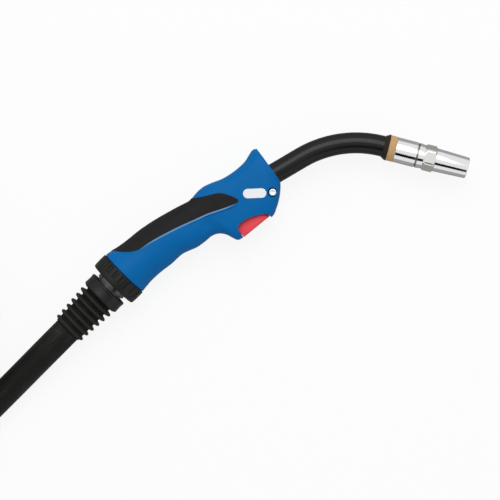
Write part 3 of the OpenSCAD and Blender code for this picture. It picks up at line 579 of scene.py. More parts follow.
def arc_corners(corners: Corners, steps: int = 5) -> Outline:
    """Round the corners of a closed outline.

    Args:
        corners: Each corner's two coordinates and the length that its rounding takes.
        steps: How many lines make a rounding.

    Returns:
        The outline's points.
    """
    points: list[Pair] = []
    count = len(corners)
    for i, (x, y, size) in enumerate(corners):
        here = Vector((x, y))
        if size <= 0:
            points.append((x, y))
            continue
        back = Vector(corners[i - 1][:2]) - here
        ahead = Vector(corners[(i + 1) % count][:2]) - here
        start = here + back.normalized() * min(size, back.length * 0.49)
        end = here + ahead.normalized() * min(size, ahead.length * 0.49)
        for k in range(steps + 1):
            t = k / steps
            p = start * (1 - t) ** 2 + here * 2 * t * (1 - t) + end * t * t
            points.append((p.x, p.y))
    return points


def arc_points(radius: float, start: float, end: float, steps: int,
               centre: Pair = (0.0, 0.0)) -> Outline:
    """Return points on a circle, from one angle in degrees to another."""
    angles = [math.radians(start + (end - start) * k / steps) for k in range(steps + 1)]
    return [(centre[0] + radius * math.cos(a), centre[1] + radius * math.sin(a)) for a in angles]


def smooth_step(value: float, low: float, high: float) -> float:
    """Return a smooth step from 0 at low to 1 at high."""
    t = max(0.0, min(1.0, (value - low) / (high - low)))
    return t * t * (3 - 2 * t)


def heading(path: Sequence[Vector], i: int) -> Vector:
    """Return the way that an open path runs at one of its points."""
    return (path[min(i + 1, len(path) - 1)] - path[max(i - 1, 0)]).normalized()


def hoop(here: Vector, side: Vector, up: Vector, radius: float, count: int) -> list[Vector]:
    """Return points on a circle round a middle, from two directions across it."""
    turns = [2 * math.pi * k / count for k in range(count)]
    return [here + radius * (math.cos(a) * side + math.sin(a) * up) for a in turns]


def smooth_run(points: Sequence[Sequence[float]], steps: int,
               closed: bool = False) -> list[Vector]:
    """Draw a smooth curve through points.

    Args:
        points: The points, each a row of numbers.
        steps: How many parts lie between one point and the next.
        closed: Whether the last point is followed by the first.

    Returns:
        The curve's points.
    """
    rows = [Vector(p) for p in points]
    count = len(rows)

    def pick(i: int) -> Vector:
        """Return a point past either end as well."""
        return rows[i % count] if closed else rows[max(0, min(count - 1, i))]

    out = []
    for i in range(count if closed else count - 1):
        a, b, c, d = pick(i - 1), pick(i), pick(i + 1), pick(i + 2)
        for k in range(steps):
            t = k / steps
            out.append(0.5 * (2 * b + (c - a) * t + (2 * a - 5 * b + 4 * c - d) * t ** 2
                              + (3 * b - a - 3 * c + d) * t ** 3))
    if not closed:
        out.append(rows[-1].copy())
    return out


class Workshop:
    """Makes plain meshes out of rings, profiles and outlines."""

    @staticmethod
    def piece(name: str, points: Sequence[Sequence[float]], faces: Sequence[Sequence[int]],
              place: Matrix, sharp: float = SHARP) -> Object:
        """Make an object out of points and faces.

        Args:
            name: The piece's name.
            points: The points, in the piece's own frame.
            faces: The faces, by the places of their points.
            place: Where the piece's frame stands.
            sharp: The angle past which an edge stays sharp.

        Returns:
            The object, at the origin, with its place in its mesh.
        """
        work = bmesh.new()
        corners = [work.verts.new(p) for p in points]
        for face in faces:
            if len(set(face)) > 2:
                work.faces.new([corners[i] for i in face])
        bmesh.ops.remove_doubles(work, verts=work.verts, dist=WELD)
        work.transform(place)
        bmesh.ops.recalc_face_normals(work, faces=work.faces)
        mesh = bpy.data.meshes.new(name)
        work.to_mesh(mesh)
        work.free()
        return Workshop.stand(name, mesh, sharp)

    @staticmethod
    def shaded(mesh: bpy.types.Mesh, sharp: float) -> None:
        """Shade a mesh smooth, and sharp past an angle."""
        mesh.shade_smooth()
        mesh.set_sharp_from_angle(angle=math.radians(sharp))

    @staticmethod
    def stand(name: str, mesh: bpy.types.Mesh, sharp: float = SHARP) -> Object:
        """Put a mesh into the scene.

        Args:
            name: The piece's name.
            mesh: Its mesh.
            sharp: The angle past which an edge stays sharp.

        Returns:
            The piece.
        """
        Workshop.shaded(mesh, sharp)
        made = bpy.data.objects.new(name, mesh)
        bpy.context.collection.objects.link(made)
        return made

    @staticmethod
    def grid(rows: Sequence[Sequence[Vector]], loop: bool, caps: bool) -> tuple[list, list]:
        """Join rings of points into faces.

        Args:
            rows: The rings, all of one length.
            loop: Whether the last ring meets the first.
            caps: Whether the ends are closed.

        Returns:
            The points and the faces.
        """
        n = len(rows[0])
        points = [p for row in rows for p in row]
        faces = []
        for i in range(len(rows) if loop else len(rows) - 1):
            low, high = i * n, ((i + 1) % len(rows)) * n
            for k in range(n):
                ahead = (k + 1) % n
                faces.append((low + k, low + ahead, high + ahead, high + k))
        if caps and not loop:
            faces.append(tuple(reversed(range(n))))
            faces.append(tuple(range(len(points) - n, len(points))))
        return points, faces

    @staticmethod
    def loft(name: str, rows: Sequence[Sequence[Vector]], place: Matrix) -> Object:
        """Make a closed solid through rings of points."""
        return Workshop.piece(name, *Workshop.grid(rows, False, True), place)

    @staticmethod
    def turned(name: str, profile: Outline, place: Matrix, steps: int = AROUND,
               shape: Shape | None = None, sharp: float = SHARP) -> Object:
        """Turn a closed profile about X.

        Args:
            name: The piece's name.
            profile: Points of the profile, each its place along X and its radius.
            place: Where the piece's frame stands.
            steps: How many faces go round.
            shape: Gives the radius at a place along X, a radius and an angle.
            sharp: The angle past which an edge stays sharp.

        Returns:
            The piece.
        """
        rows = []
        for k in range(steps):
            angle = 2 * math.pi * k / steps
            row = []
            for x, r in profile:
                radius = shape(x, r, angle) if shape else r
                row.append(Vector((x, radius * math.cos(angle), radius * math.sin(angle))))
            rows.append(row)
        return Workshop.piece(name, *Workshop.grid(rows, True, False), place, sharp)

    @staticmethod
    def prism(name: str, outline: Outline, low: float, high: float, place: Matrix) -> Object:
        """Stretch an outline from one height to another."""
        rows = [[Vector((x, y, z)) for x, y in outline] for z in (low, high)]
        return Workshop.loft(name, rows, place)

    @staticmethod
    def panel(name: str, size: Pair, height: float, place: Matrix, finish: Finish) -> Object:
        """Lay a flat panel that belongs to the studio.

        Args:
            name: The panel's name.
            size: Its length and width.
            height: How high it lies in its own frame.
            place: Where that frame stands.
            finish: Its finish.

        Returns:
            The panel.
        """
        x, y = size[0] / 2, size[1] / 2
        points = [(-x, -y, height), (x, -y, height), (x, y, height), (-x, y, height)]
        made = Workshop.piece(name, points, [(0, 1, 2, 3)], place)
        made.data.materials.append(finish.material())
        return made

    @staticmethod
    def swept(name: str, path: Sequence[Vector], radius: float, sides: int, place: Matrix,
              layer: str) -> Object:
        """Sweep a circle along a level path.

        Args:
            name: The piece's name.
            path: The points that it follows.
            radius: The circle's radius.
            sides: How many faces go round.
            place: Where the piece's frame stands.
            layer: The name of the UV map along the sweep.

        Returns:
            The piece.
        """
        rows = []
        reach = [0.0]
        for i, here in enumerate(path):
            ahead = heading(path, i)
            side = UP.cross(ahead).normalized()
            rows.append(hoop(here, side, ahead.cross(side), radius, sides))
            reach.append(reach[-1] + (path[min(i + 1, len(path) - 1)] - here).length)
        made = Workshop.loft(name, rows, place)
        Workshop._lay_along(made.data, layer, sides, radius, reach[:len(path)])
        return made

    @staticmethod
    def _lay_along(mesh: bpy.types.Mesh, layer: str, sides: int, radius: float,
                   reach: Sequence[float]) -> None:
        """Give a swept mesh a UV map of its length and girth, in metres.

        Args:
            mesh: The mesh.
            layer: The map's name.
            sides: How many faces go round it.
            radius: Its radius.
            reach: How far along the path each of its rings lies.
        """
        lay = mesh.uv_layers.new(name=layer)
        girth = 2 * math.pi * radius / sides
        for face in mesh.polygons:
            spots = [mesh.loops[i].vertex_index for i in face.loop_indices]
            around = {spot % sides for spot in spots}
            wraps = {0, sides - 1} <= around and len(spots) == 4
            for i, spot in zip(face.loop_indices, spots):
                k = sides if wraps and spot % sides == 0 else spot % sides
                ring = min(spot // sides, len(reach) - 1)
                lay.data[i].uv = (reach[ring] * MM, k * girth * MM)

    @staticmethod
    def carve(piece: Object, cutter: Object, operation: str = "DIFFERENCE") -> Object:
        """Cut one piece with another.

        Args:
            piece: The piece that is cut.
            cutter: The piece that cuts it.
            operation: The kind of cut.

        Returns:
            The cut piece.
        """
        cut = piece.modifiers.new("cut", "BOOLEAN")
        cut.operation = operation
        cut.object = cutter
        cut.solver = "EXACT"
        Workshop.settle(piece)
        bpy.data.objects.remove(cutter)
        return piece

    @staticmethod
    def merged(name: str, pieces: Sequence[Object]) -> Object:
        """Put the meshes of several pieces into one object.

        Args:
            name: The object's name.
            pieces: The pieces, which it takes the place of.

        Returns:
            The object.
        """
        work = bmesh.new()
        for piece in pieces:
            work.from_mesh(piece.data)
            bpy.data.objects.remove(piece)
        mesh = bpy.data.meshes.new(name)
        work.to_mesh(mesh)
        work.free()
        return Workshop.stand(name, mesh)

    @staticmethod
    def settle(piece: Object, sharp: float = SHARP) -> None:
        """Turn a piece with modifiers into a plain mesh and take the modifiers off.

        Args:
            piece: The piece.
            sharp: The angle past which an edge stays sharp.
        """
        bpy.context.view_layer.update()
        graph = bpy.context.evaluated_depsgraph_get()
        mesh = bpy.data.meshes.new_from_object(piece.evaluated_get(graph))
        piece.modifiers.clear()
        piece.data = mesh
        Workshop.shaded(mesh, sharp)

    @staticmethod
    def ease(piece: Object, width: float, segments: int = 2) -> None:
        """Round a piece's edges.

        Args:
            piece: The piece.
            width: The rounding's width in millimetres.
            segments: How many faces make it.
        """
        round_off = piece.modifiers.new("ease", "BEVEL")
        round_off.width = width * MM
        round_off.segments = segments
        round_off.limit_method = "ANGLE"
        round_off.angle_limit = math.radians(SHARP)
        Workshop.settle(piece)


def placed(piece: Object, place: Matrix) -> Object:
    """Move a piece's mesh from its own frame, in millimetres, to its place."""
    piece.data.transform(place)
    return piece


def dress(piece: Object, finish: Finish, body: Body, *nodes: str) -> Object:
    """Give a piece its finish and its body.

    Args:
        piece: The piece.
        finish: Its finish.
        body: The body that it rides on.
        nodes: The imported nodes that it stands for.

    Returns:
        The piece.
    """
    piece.data.materials.clear()
    piece.data.materials.append(finish.material())
    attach(piece, body.value)
    if nodes:
        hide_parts(*nodes)
    log.info("%s: %d faces, %s", piece.name, len(piece.data.polygons), finish.name)
    return piece


def refinish(node: str, finish: Finish) -> Object:
    """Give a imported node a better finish.

    Args:
        node: The node's name.
        finish: Its finish.

    Returns:
        The node's object.
    """
    made = frame["nodes"][node]
    for slot in made.material_slots:
        slot.material = finish.material()
    log.info("%s: %s", node, finish.name)
    return made


# ---------------------------------------------------------------- studio


@dataclass
class Studio:
    """Pale floor, one soft lamp and the camera straight above the torch."""

    lens_mm: float = 150.0
    sensor_mm: float = 36.0
    sees_to_m: float = 50.0
    height_m: float = 1.899
    aim_m: Pair = (-0.0157, 0.00061)
    roll: float = -45.0
    lamp_size_m: float = 1.8
    lamp_place: tuple[float, float, float] = (0.88, 0.88, 2.17)
    lamp_watts: float = 33.0
    room: float = 0.5
    flag_tilt: float = 41.0
    flag_away_m: float = 1.0
    flag_size_m: Pair = (0.9, 0.45)
    table_size_m: float = 0.7
    table_drop_m: float = 0.0001
    floor_size_m: float = 12.0
    floor_drop_m: float = 0.0003

    def build(self) -> None:
        """Build the camera, the floor, the lamp and the room's light."""
        self.camera()
        self.floor()
        self.lamp()
        self.cards()
        self.room_light()
        bpy.context.scene.view_settings.view_transform = "Standard"

    def camera(self) -> None:
        """Hang the camera above the torch."""
        data = bpy.data.cameras.new("camera")
        data.lens = self.lens_mm
        data.sensor_width = self.sensor_mm
        data.clip_end = self.sees_to_m
        made = bpy.data.objects.new("camera", data)
        bpy.context.collection.objects.link(made)
        made.location = (self.aim_m[0], self.aim_m[1], self.height_m)
        made.rotation_euler = (0.0, 0.0, math.radians(self.roll))
        bpy.context.scene.camera = made

    def floor(self) -> None:
        """Lay the floor a little below the cable."""
        size = (self.floor_size_m, self.floor_size_m)
        Workshop.panel("floor", size, -self.floor_drop_m, OWN, FLOOR)

    def cards(self) -> None:
        """Set the cards that only the shine shows: a dark one above the nozzle, and a grey one
        below it as painted floor shadow.
        """
        spot = NOSE.to_translation()
        across = math.atan2(NOZZLE_AXIS.y, NOZZLE_AXIS.x)
        centre = Matrix.Translation(spot) @ Matrix.Rotation(across, 4, "Z")
        above = centre @ turn_about("X", self.flag_tilt) @ shift(0.0, 0.0, self.flag_away_m)
        below = shift(spot.x, spot.y, -self.table_drop_m)
        self.card("flag_card", self.flag_size_m, above, CARD_BLACK)
        self.card("floor_shade_card", (self.table_size_m, self.table_size_m), below, CARD_FLOOR_SHADE)

    @staticmethod
    def card(name: str, size_m: Pair, place: Matrix, finish: Finish) -> None:
        """Set one card.

        Args:
            name: The card's name.
            size_m: Its length and width.
            place: Where its middle stands.
            finish: Its finish.
        """
        made = Workshop.panel(name, size_m, 0.0, place, finish)
        made.visible_camera = False
        made.visible_diffuse = False
        made.visible_shadow = False

    def lamp(self) -> None:
        """Hang the square lamp, pointed at the torch."""
        data = bpy.data.lights.new("softbox", "AREA")
        data.size = self.lamp_size_m
        data.energy = self.lamp_watts
        made = bpy.data.objects.new("softbox", data)
        bpy.context.collection.objects.link(made)
        made.location = self.lamp_place
        made.rotation_euler = (-Vector(self.lamp_place)).to_track_quat("-Z", "Y").to_euler()
        made.visible_camera = False

    def room_light(self) -> None:
        """Light the room evenly, and show it white behind the torch."""
        world = bpy.data.worlds.new("room")
        bpy.context.scene.world = world
        world.use_nodes = True
        bench = Bench(world.node_tree)
        rays = bench.add("ShaderNodeLightPath")
        seen = rays.pick("Is Camera Ray") + rays.pick("Is Glossy Ray")
        seen = seen + rays.pick("Is Transmission Ray")
        strength = self.room + seen * (1.0 - self.room)
        light = bench.add("ShaderNodeBackground", None, {"Color": WHITE, "Strength": strength})
        bench.add("ShaderNodeOutputWorld", None, {"Surface": light})


# ---------------------------------------------------------------- cable


@dataclass
class Cable:
    """The covered cable: its run to the coil, the coil and the tail to the connector."""

    diameter: float = 25.0
    length_m: float = 3.0
    centre: Pair = (-241.0, 135.0)
    outer_r: float = 135.0
    inner_r: float = 110.0
    low_z: float = -10.3
    high_z: float = 14.7
    turns: float = 3.5
    sides: int = 28
    strap_w: float = 22.0
    strap_t: float = 1.2
    strap_turn: float = 20.0
    strap_count: int = 3
    strap_corner: float = 12.1
    strap_hem: float = 0.5
    bundle_half: float = 25.8
    bundle_high: float = 50.0
    boot_end: float = -69.0
    turn_in: Pair = (270, 360)
    turn_up: Pair = (570, 630)
    turn_out: Pair = (900, 960)
    coil_step: float = 15.0
    path_steps: int = 4
    run: list = field(default_factory=lambda: [
        (-63, 0, 0), (-75, 0, -0.1), (-88, 0, -0.8), (-102, 0, -2.6), (-118, 0, -5.6),
        (-134, 0, -8.2), (-150, 0, -9.8), (-168, 0, -10.3), (-186, 0, -10.3),
        (-204, 0, -10.3), (-222, 0, -10.3)])
    tail: list = field(default_factory=lambda: [
        (-226, 270, 14.2), (-211, 270, 12.6), (-196, 270, 9.6), (-184, 270, 6.6),
        (-172, 270, 3.9), (-160, 270, 1.9), (-150, 270, 1.1), (-142, 270, 1), (-126, 270, 1),
        (-111, 270, 1)])

    def coil(self) -> list[tuple[float, float, float]]:
        """Return the points of the coil's turns, which step inwards, up and outwards again.

        Returns:
            The points, one every few degrees.
        """
        points = []
        steps = int(self.turns * 360 / self.coil_step)
        for k in range(steps + 1):
            swept = self.coil_step * k
            out = 1 - smooth_step(swept, *self.turn_in) + smooth_step(swept, *self.turn_out)
            radius = self.inner_r + (self.outer_r - self.inner_r) * out
            rise = smooth_step(swept, *self.turn_up)
            height = self.low_z + (self.high_z - self.low_z) * rise
            angle = math.radians(-90.0 - swept)
            points.append((self.centre[0] + radius * math.cos(angle),
                           self.centre[1] + radius * math.sin(angle), height))
        return points

    def build(self, on_cable: Sequence[Object]) -> None:
        """Args:
            on_cable: The pieces at the cable's end and round its coil; not used.
        """
        path = smooth_run(self.run + self.coil() + self.tail, self.path_steps)
        made = Workshop.swept("cable", path, self.diameter / 2, self.sides, HANDLE, "jacket")
        dress(made, CABLE_BLACK, Body.CABLE, "cable_run", "cable_coil", "cable_tail")
        [HANDLE @ p for p in path]

    def straps(self) -> Object:
        """Build the strap loop that ties the coil and repeat it round the coil.

        Returns:
            The straps.
        """
        edge, thick, hem = self.strap_w / 2, self.strap_t / 2, self.strap_hem
        half, high = self.bundle_half + thick, self.bundle_high + self.strap_t
        bend = self.strap_corner
        path = arc_corners([(-half, 0, bend), (half, 0, bend), (half, high, bend),
                            (-half, high, bend)], 12)
        section = arc_corners([(-edge, -thick, hem), (edge, -thick, hem), (edge, thick, hem),
                               (-edge, thick, hem)], 3)
        rows = []
        for i, (x, z) in enumerate(path):
            back, ahead = Vector(path[i - 1]), Vector(path[(i + 1) % len(path)])
            along = (ahead - back).normalized()
            out = Vector((along.y, 0.0, -along.x))
            here = Vector((x, 0.0, z + thick))
            rows.append([here + Vector((0.0, side, 0.0)) + out * up for side, up in section])
        loop = Workshop.piece("coil_strap_loops", *Workshop.grid(rows, True, False), OWN)
        middle = (self.inner_r + self.outer_r) / 2
        plan = spoke_ring("coil_strap_ring", STRAP_BLACK, self.strap_count, middle,
                          self.strap_turn)
        plan.use(loop)
        place = HANDLE @ shift(self.centre[0], self.centre[1], -AXIS_HEIGHT)
        return dress(placed(loop, place), STRAP_BLACK, Body.CABLE, "coil_straps")


# ---------------------------------------------------------------- rib and notch patterns


class Pattern:
    """A Geometry Nodes tree that repeats a shape, with its sizes as named inputs."""

    def __init__(self, name: str, sizes: dict[str, float | int]) -> None:
        """Open the tree and give it its inputs.

        Args:
            name: The tree's name.
            sizes: Each input's name and value.
        """
        self.tree = bpy.data.node_groups.new(name, "GeometryNodeTree")
        face = self.tree.interface
        face.new_socket("Geometry", in_out="INPUT", socket_type="NodeSocketGeometry")
        face.new_socket("Geometry", in_out="OUTPUT", socket_type="NodeSocketGeometry")
        self.keys: dict[str, str] = {}
        self.sizes = sizes
        for label, value in sizes.items():
            kind = "NodeSocketInt" if isinstance(value, int) else "NodeSocketFloat"
            self.keys[label] = face.new_socket(label, in_out="INPUT", socket_type=kind).identifier
        self.bench = Bench(self.tree)
        self.inputs = self.bench.add("NodeGroupInput")

    def size(self, label: str) -> Wire:
        """Return one of the tree's inputs."""
        return self.inputs.pick(label)

    def close(self, shape: Wire, finish: Finish) -> None:
        """End the tree in plain geometry with its finish.

        Args:
            shape: The geometry so far.
            finish: The finish of the piece.
        """
        real = self.bench.add("GeometryNodeRealizeInstances", None, {"Geometry": shape})
        painted = self.bench.add("GeometryNodeSetMaterial", None,
                                 {"Geometry": real, "Material": finish.material()})
        self.bench.add("NodeGroupOutput", None, {0: painted})

    def spread(self, shape: Wire, turned: Wire) -> Wire:
        """Set a copy of a shape, each one turned, for every piece that is counted.

        Args:
            shape: The shape that is repeated.
            turned: The turn of each copy.

        Returns:
            The copies.
        """
        spots = self.bench.add("GeometryNodeMeshLine", None,
                               {"Count": self.size("Count"), "Offset": (0.0, 0.0, 0.0)})
        return self.bench.add("GeometryNodeInstanceOnPoints", None,
                              {"Points": spots, "Instance": shape, "Rotation": turned})

    def vector(self, **parts: object) -> Wire:
        """Return a vector of the parts named X, Y and Z."""
        return self.bench.add("ShaderNodeCombineXYZ", None, parts)

    def use(self, piece: Object, sharp: float = SHARP) -> Object:
        """Run the tree on a piece and keep the result as its mesh.

        Args:
            piece: The piece that the tree starts from.
            sharp: The angle past which an edge stays sharp.

        Returns:
            The piece.
        """
        step = piece.modifiers.new(self.tree.name, "NODES")
        step.node_group = self.tree
        for label, value in self.sizes.items():
            step[self.keys[label]] = value
        Workshop.settle(piece, sharp)
        return piece


def rib_stack(name: str, finish: Finish, count: int, pitch: float, front: float,
              rear: float) -> Pattern:
    """Make the tree that repeats one unit rib backwards along X and scales each one.

    Args:
        name: The tree's name.
        finish: The finish of the ribs.
        count: How many ribs there are.
        pitch: The distance from one to the next.
        front: The first rib's radius.
        rear: The last rib's radius.

    Returns:
        The tree.
    """
    plan = Pattern(name, {"Count": count, "Pitch": pitch, "Front radius": front,
                          "Rear radius": rear})
    bench = plan.bench
    step = plan.vector(X=plan.size("Pitch") * -1.0)
    line = bench.add("GeometryNodeMeshLine", None, {"Count": plan.size("Count"), "Offset": step})
    index = bench.add("GeometryNodeInputIndex")
    share = index / (plan.size("Count") - 1.0)
    first = plan.size("Front radius")
    radius = first + (plan.size("Rear radius") - first) * share
    scale = plan.vector(X=1.0, Y=radius, Z=radius)
    ribs = bench.add("GeometryNodeInstanceOnPoints", None,
                     {"Points": line, "Instance": plan.inputs.pick("Geometry"), "Scale": scale})
    plan.close(ribs, finish)
    return plan


def notch_ring(name: str, finish: Finish, count: int, notch_r: float, ring_r: float,
               start: float, length: float, turn: float) -> Pattern:
    """Make the tree that cuts a ring of round notches along X into a turned blank.

    Args:
        name: The tree's name.
        finish: The finish of the piece.
        count: How many notches there are.
        notch_r: The radius of a notch.
        ring_r: The radius of the circle that the notches' middles lie on.
        start: Where the notches start along X.
        length: How long they are.
        turn: The angle of the first one.

    Returns:
        The tree.
    """
    plan = Pattern(name, {"Count": count, "Notch radius": notch_r, "Ring radius": ring_r,
                          "Start": start, "Length": length, "Turn": turn})
    bench = plan.bench
    tool = bench.add("GeometryNodeMeshCylinder", None,
                     {"Vertices": NOTCH_AROUND, "Radius": plan.size("Notch radius"),
                      "Depth": plan.size("Length")})
    middle = plan.vector(X=plan.size("Start") + plan.size("Length") * 0.5,
                         Y=plan.size("Ring radius"))
    laid = bench.add("GeometryNodeTransform", None,
                     {"Geometry": tool, "Rotation": plan.vector(Y=math.pi / 2),
                      "Translation": middle})
    index = bench.add("GeometryNodeInputIndex")
    angle = (index + plan.size("Turn")) * 2.0 * math.pi / plan.size("Count")
    tools = plan.spread(laid, plan.vector(X=angle))
    real = bench.add("GeometryNodeRealizeInstances", None, {"Geometry": tools})
    cut = bench.add("GeometryNodeMeshBoolean", {"operation": "DIFFERENCE", "solver": "EXACT"},
                    {"Mesh 1": plan.inputs.pick("Geometry"), "Mesh 2": real})
    plan.close(cut, finish)
    return plan


def spoke_ring(name: str, finish: Finish, count: int, ring_r: float, turn: float) -> Pattern:
    """Make the tree that repeats a piece on a level circle about Z.

    Args:
        name: The tree's name.
        finish: The finish of the pieces.
        count: How many pieces there are.
        ring_r: The circle's radius.
        turn: The angle of the first one, in degrees.

    Returns:
        The tree.
    """
    plan = Pattern(name, {"Count": count, "Ring radius": ring_r, "Turn": turn})
    bench = plan.bench
    laid = bench.add("GeometryNodeTransform", None,
                     {"Geometry": plan.inputs.pick("Geometry"),
                      "Translation": plan.vector(X=plan.size("Ring radius"))})
    index = bench.add("GeometryNodeInputIndex")
    first = plan.size("Turn") * (math.pi / 180.0)
    angle = index * 2.0 * math.pi / plan.size("Count") + first
    plan.close(plan.spread(laid, plan.vector(Z=angle)), finish)
    return plan


def wire_coil(name: str, finish: Finish, turns: float, coil_r: float, wire_r: float,
              height: float) -> Pattern:
    """Make the tree that winds a wire round Z.

    Args:
        name: The tree's name.
        finish: The finish of the wire.
        turns: How many turns there are.
        coil_r: The radius of the wire's middle line.
        wire_r: The wire's own radius.
        height: How far the middle line climbs.

    Returns:
        The tree.
    """
    plan = Pattern(name, {"Turns": turns, "Coil radius": coil_r, "Wire radius": wire_r,
                          "Height": height})
    bench, coil = plan.bench, plan.size("Coil radius")
    line = bench.add("GeometryNodeCurveSpiral", None,
                     {"Resolution": COIL_STEPS, "Rotations": plan.size("Turns"),
                      "Start Radius": coil, "End Radius": coil, "Height": plan.size("Height")})
    ring = bench.add("GeometryNodeCurvePrimitiveCircle", None,
                     {"Resolution": WIRE_AROUND, "Radius": plan.size("Wire radius")})
    wire = bench.add("GeometryNodeCurveToMesh", None,
                     {"Curve": line, "Profile Curve": ring, "Fill Caps": True})
    plan.close(wire, finish)
    return plan


@dataclass(frozen=True)
class RibSet:
    """The ribs of a bend boot, which get lower towards its cable end."""

    name: str
    count: int
    first: float
    front_r: float
    rear_r: float
    foot_half: float
    crest_half: float
    crest_round: float
    pitch: float = 6.5
    foot_sunk: float = 0.6

    def build(self, valley_r: float, frame_place: Matrix) -> Object:
        """Build the ribs on a boot.

        Args:
            valley_r: The boot's radius between them.
            frame_place: Where the boot's own frame stands.

        Returns:
            The ribs, as one piece.
        """
        low = (valley_r - self.foot_sunk) / self.front_r
        foot, crest, bend = self.foot_half, self.crest_half, self.crest_round
        unit = arc_corners([(foot, low, 0), (crest, 1.0, bend), (-crest, 1.0, bend),
                            (-foot, low, 0)], 4)
        ribs = Workshop.turned(self.name, unit, OWN)
        rib_stack(f"{self.name}_stack", RIB_PAINTED_LIGHT, self.count, self.pitch, self.front_r,
                  self.rear_r).use(ribs)
        return dress(placed(ribs, frame_place @ shift(self.first)), RIB_PAINTED_LIGHT, Body.CABLE)


def lobed(start: float, mouth_r: float, depth: float = 0.13) -> Shape:
    """Make the shape of a six-lobed socket.

    Args:
        start: The place along X past which the socket lies.
        mouth_r: A radius that only the socket stays within.
        depth: How deep the lobes are, as a share of the radius.

    Returns:
        The socket's radius at a place, a radius and an angle.
    """

    def shape(x: float, r: float, angle: float) -> float:
        """Return the radius at a place, a radius and an angle."""
        return r * (1 + depth * math.cos(6 * angle)) if x > start and r < mouth_r else r

    return shape


# ---------------------------------------------------------------- ball joint


@dataclass
class BallJoint:
    """The ball, its cuff, the ribbed bend boot and the ring nut that holds the ball."""

    ball_r: float = 17.5
    neck: Pair = (-14.6, -9.6)
    neck_r: float = 15.0
    bore_r: float = 11.5
    cuff_r: float = 19.3
    cuff: Pair = (-29.0, -16.5)
    core_r: float = 9.8
    valley_r: float = 13.5
    ribs: RibSet = RibSet("bend_boot_ribs", 6, -33.5, 18.2, 15.8, 2.6, 1.1, 0.7)
    boot_rear: float = -69.0
    socket_r: float = 12.6
    socket_l: float = 6.0
    nut_r: float = 24.0
    nut: Pair = (-11.5, 2.5)
    thread_r: float = 21.7
    lip: Pair = (-6.0, 17.6)
    notches: int = 20
    notch_r: float = 2.3
    notch_out: float = 0.9
    notch_in: float = 5.5
    notch_l: float = 7.5
    sphere: Pair = (-8.75, 10.0)
    ball_steps: int = 24
    stem: Pair = (-25.5, 12.3)
    step: Pair = (-16.6, -15.2)
    step_r: float = 13.4
    rim: float = 1.6

    def build(self) -> None:
        """Build the pieces from the ball backwards."""
        self.ball()
        self.cuff_ring()
        self.boot()
        self.ring_nut()
        refinish("ball_seat", IVORY)
        refinish("socket_sleeve", NUT_BLACK)
        refinish("cable_core_rear", CORE_GREY)

    def ball(self) -> None:
        """Turn the ball with its neck and bore."""
        start, end = (math.degrees(math.asin(x / self.ball_r)) for x in self.sphere)
        steps = self.ball_steps
        arc = [math.radians(start + (end - start) * k / steps) for k in range(steps + 1)]
        sphere = [(self.ball_r * math.sin(a), self.ball_r * math.cos(a)) for a in arc]
        (rear, stem_r), (s0, s1), (n0, n1), bore = self.stem, self.step, self.neck, self.bore_r
        profile = [(rear, stem_r), (s0, stem_r), (s0, self.step_r), (s1, self.step_r),
                   (n0, self.neck_r), (n1, self.neck_r), *sphere[1:],
                   (self.sphere[1], bore + self.rim), (0.0, bore), (rear, bore)]
        dress(Workshop.turned("ball_joint_ball", profile, HANDLE), BALL_GREY, Body.CABLE, "ball")

    def cuff_ring(self) -> None:
        """Turn the cuff with its front lip and pointed rear edge."""
        (rear, front), r = self.cuff, self.cuff_r
        corners = [(front, self.stem[1], 0), (front, r - 0.8, 0.6), (front - 0.8, r, 0.6),
                   (front - 3.4, r - 0.5, 1.0), (front - 7.5, r - 0.35, 1.5),
                   (rear + 1.6, r - 0.1, 0.8), (rear, r - 2.6, 0.8), (rear, self.core_r, 0)]
        ring = Workshop.turned("cable_cuff_ring", arc_corners(corners), HANDLE)
        dress(ring, CUFF_BLACK, Body.CABLE, "cable_cuff")

    def boot(self) -> None:
        """Build the boot: a plain tube and the ribs that repeat along it."""
        rear, front, r = self.boot_rear, self.cuff[0], self.valley_r
        corners = [(front, self.core_r, 0), (front, r + 0.6, 0.5), (front - 2.2, r, 1.0),
                   (rear, r - 0.1, 0.4), (rear, self.socket_r, 0),
                   (rear + self.socket_l, self.socket_r, 0), (rear + self.socket_l, self.core_r, 0)]
        # The tube takes the darker rubber as painted shade between the ribs, and the ribs take the
        # lighter one as painted light
        tube = Workshop.turned("bend_boot_tube", arc_corners(corners), HANDLE)
        dress(tube, BOOT_VALLEY_SHADE, Body.CABLE, "bend_boot")
        self.ribs.build(r, HANDLE)

    def ring_nut(self) -> None:
        """Build the ring nut and cut its finger notches."""
        (rear, front), r, thread_r = self.nut, self.nut_r, self.thread_r
        corners = [(rear, 18.9, 0.3), (rear, r - 0.2, 3.0), (rear + 4.5, r, 1.0), (front, r, 0.5),
                   (front, thread_r, 0), (self.lip[0], thread_r, 0), (*self.lip, 0)]
        blank = Workshop.turned("ring_nut_body", arc_corners(corners), OWN, FINE_AROUND)
        notch_ring("nut_notches", NUT_BLACK, self.notches, self.notch_r, r + self.notch_out,
                   rear + self.notch_in, self.notch_l, 0.5).use(blank)
        dress(placed(blank, HANDLE), NUT_BLACK, Body.TORCH, "ring_nut")


# ---------------------------------------------------------------- handle


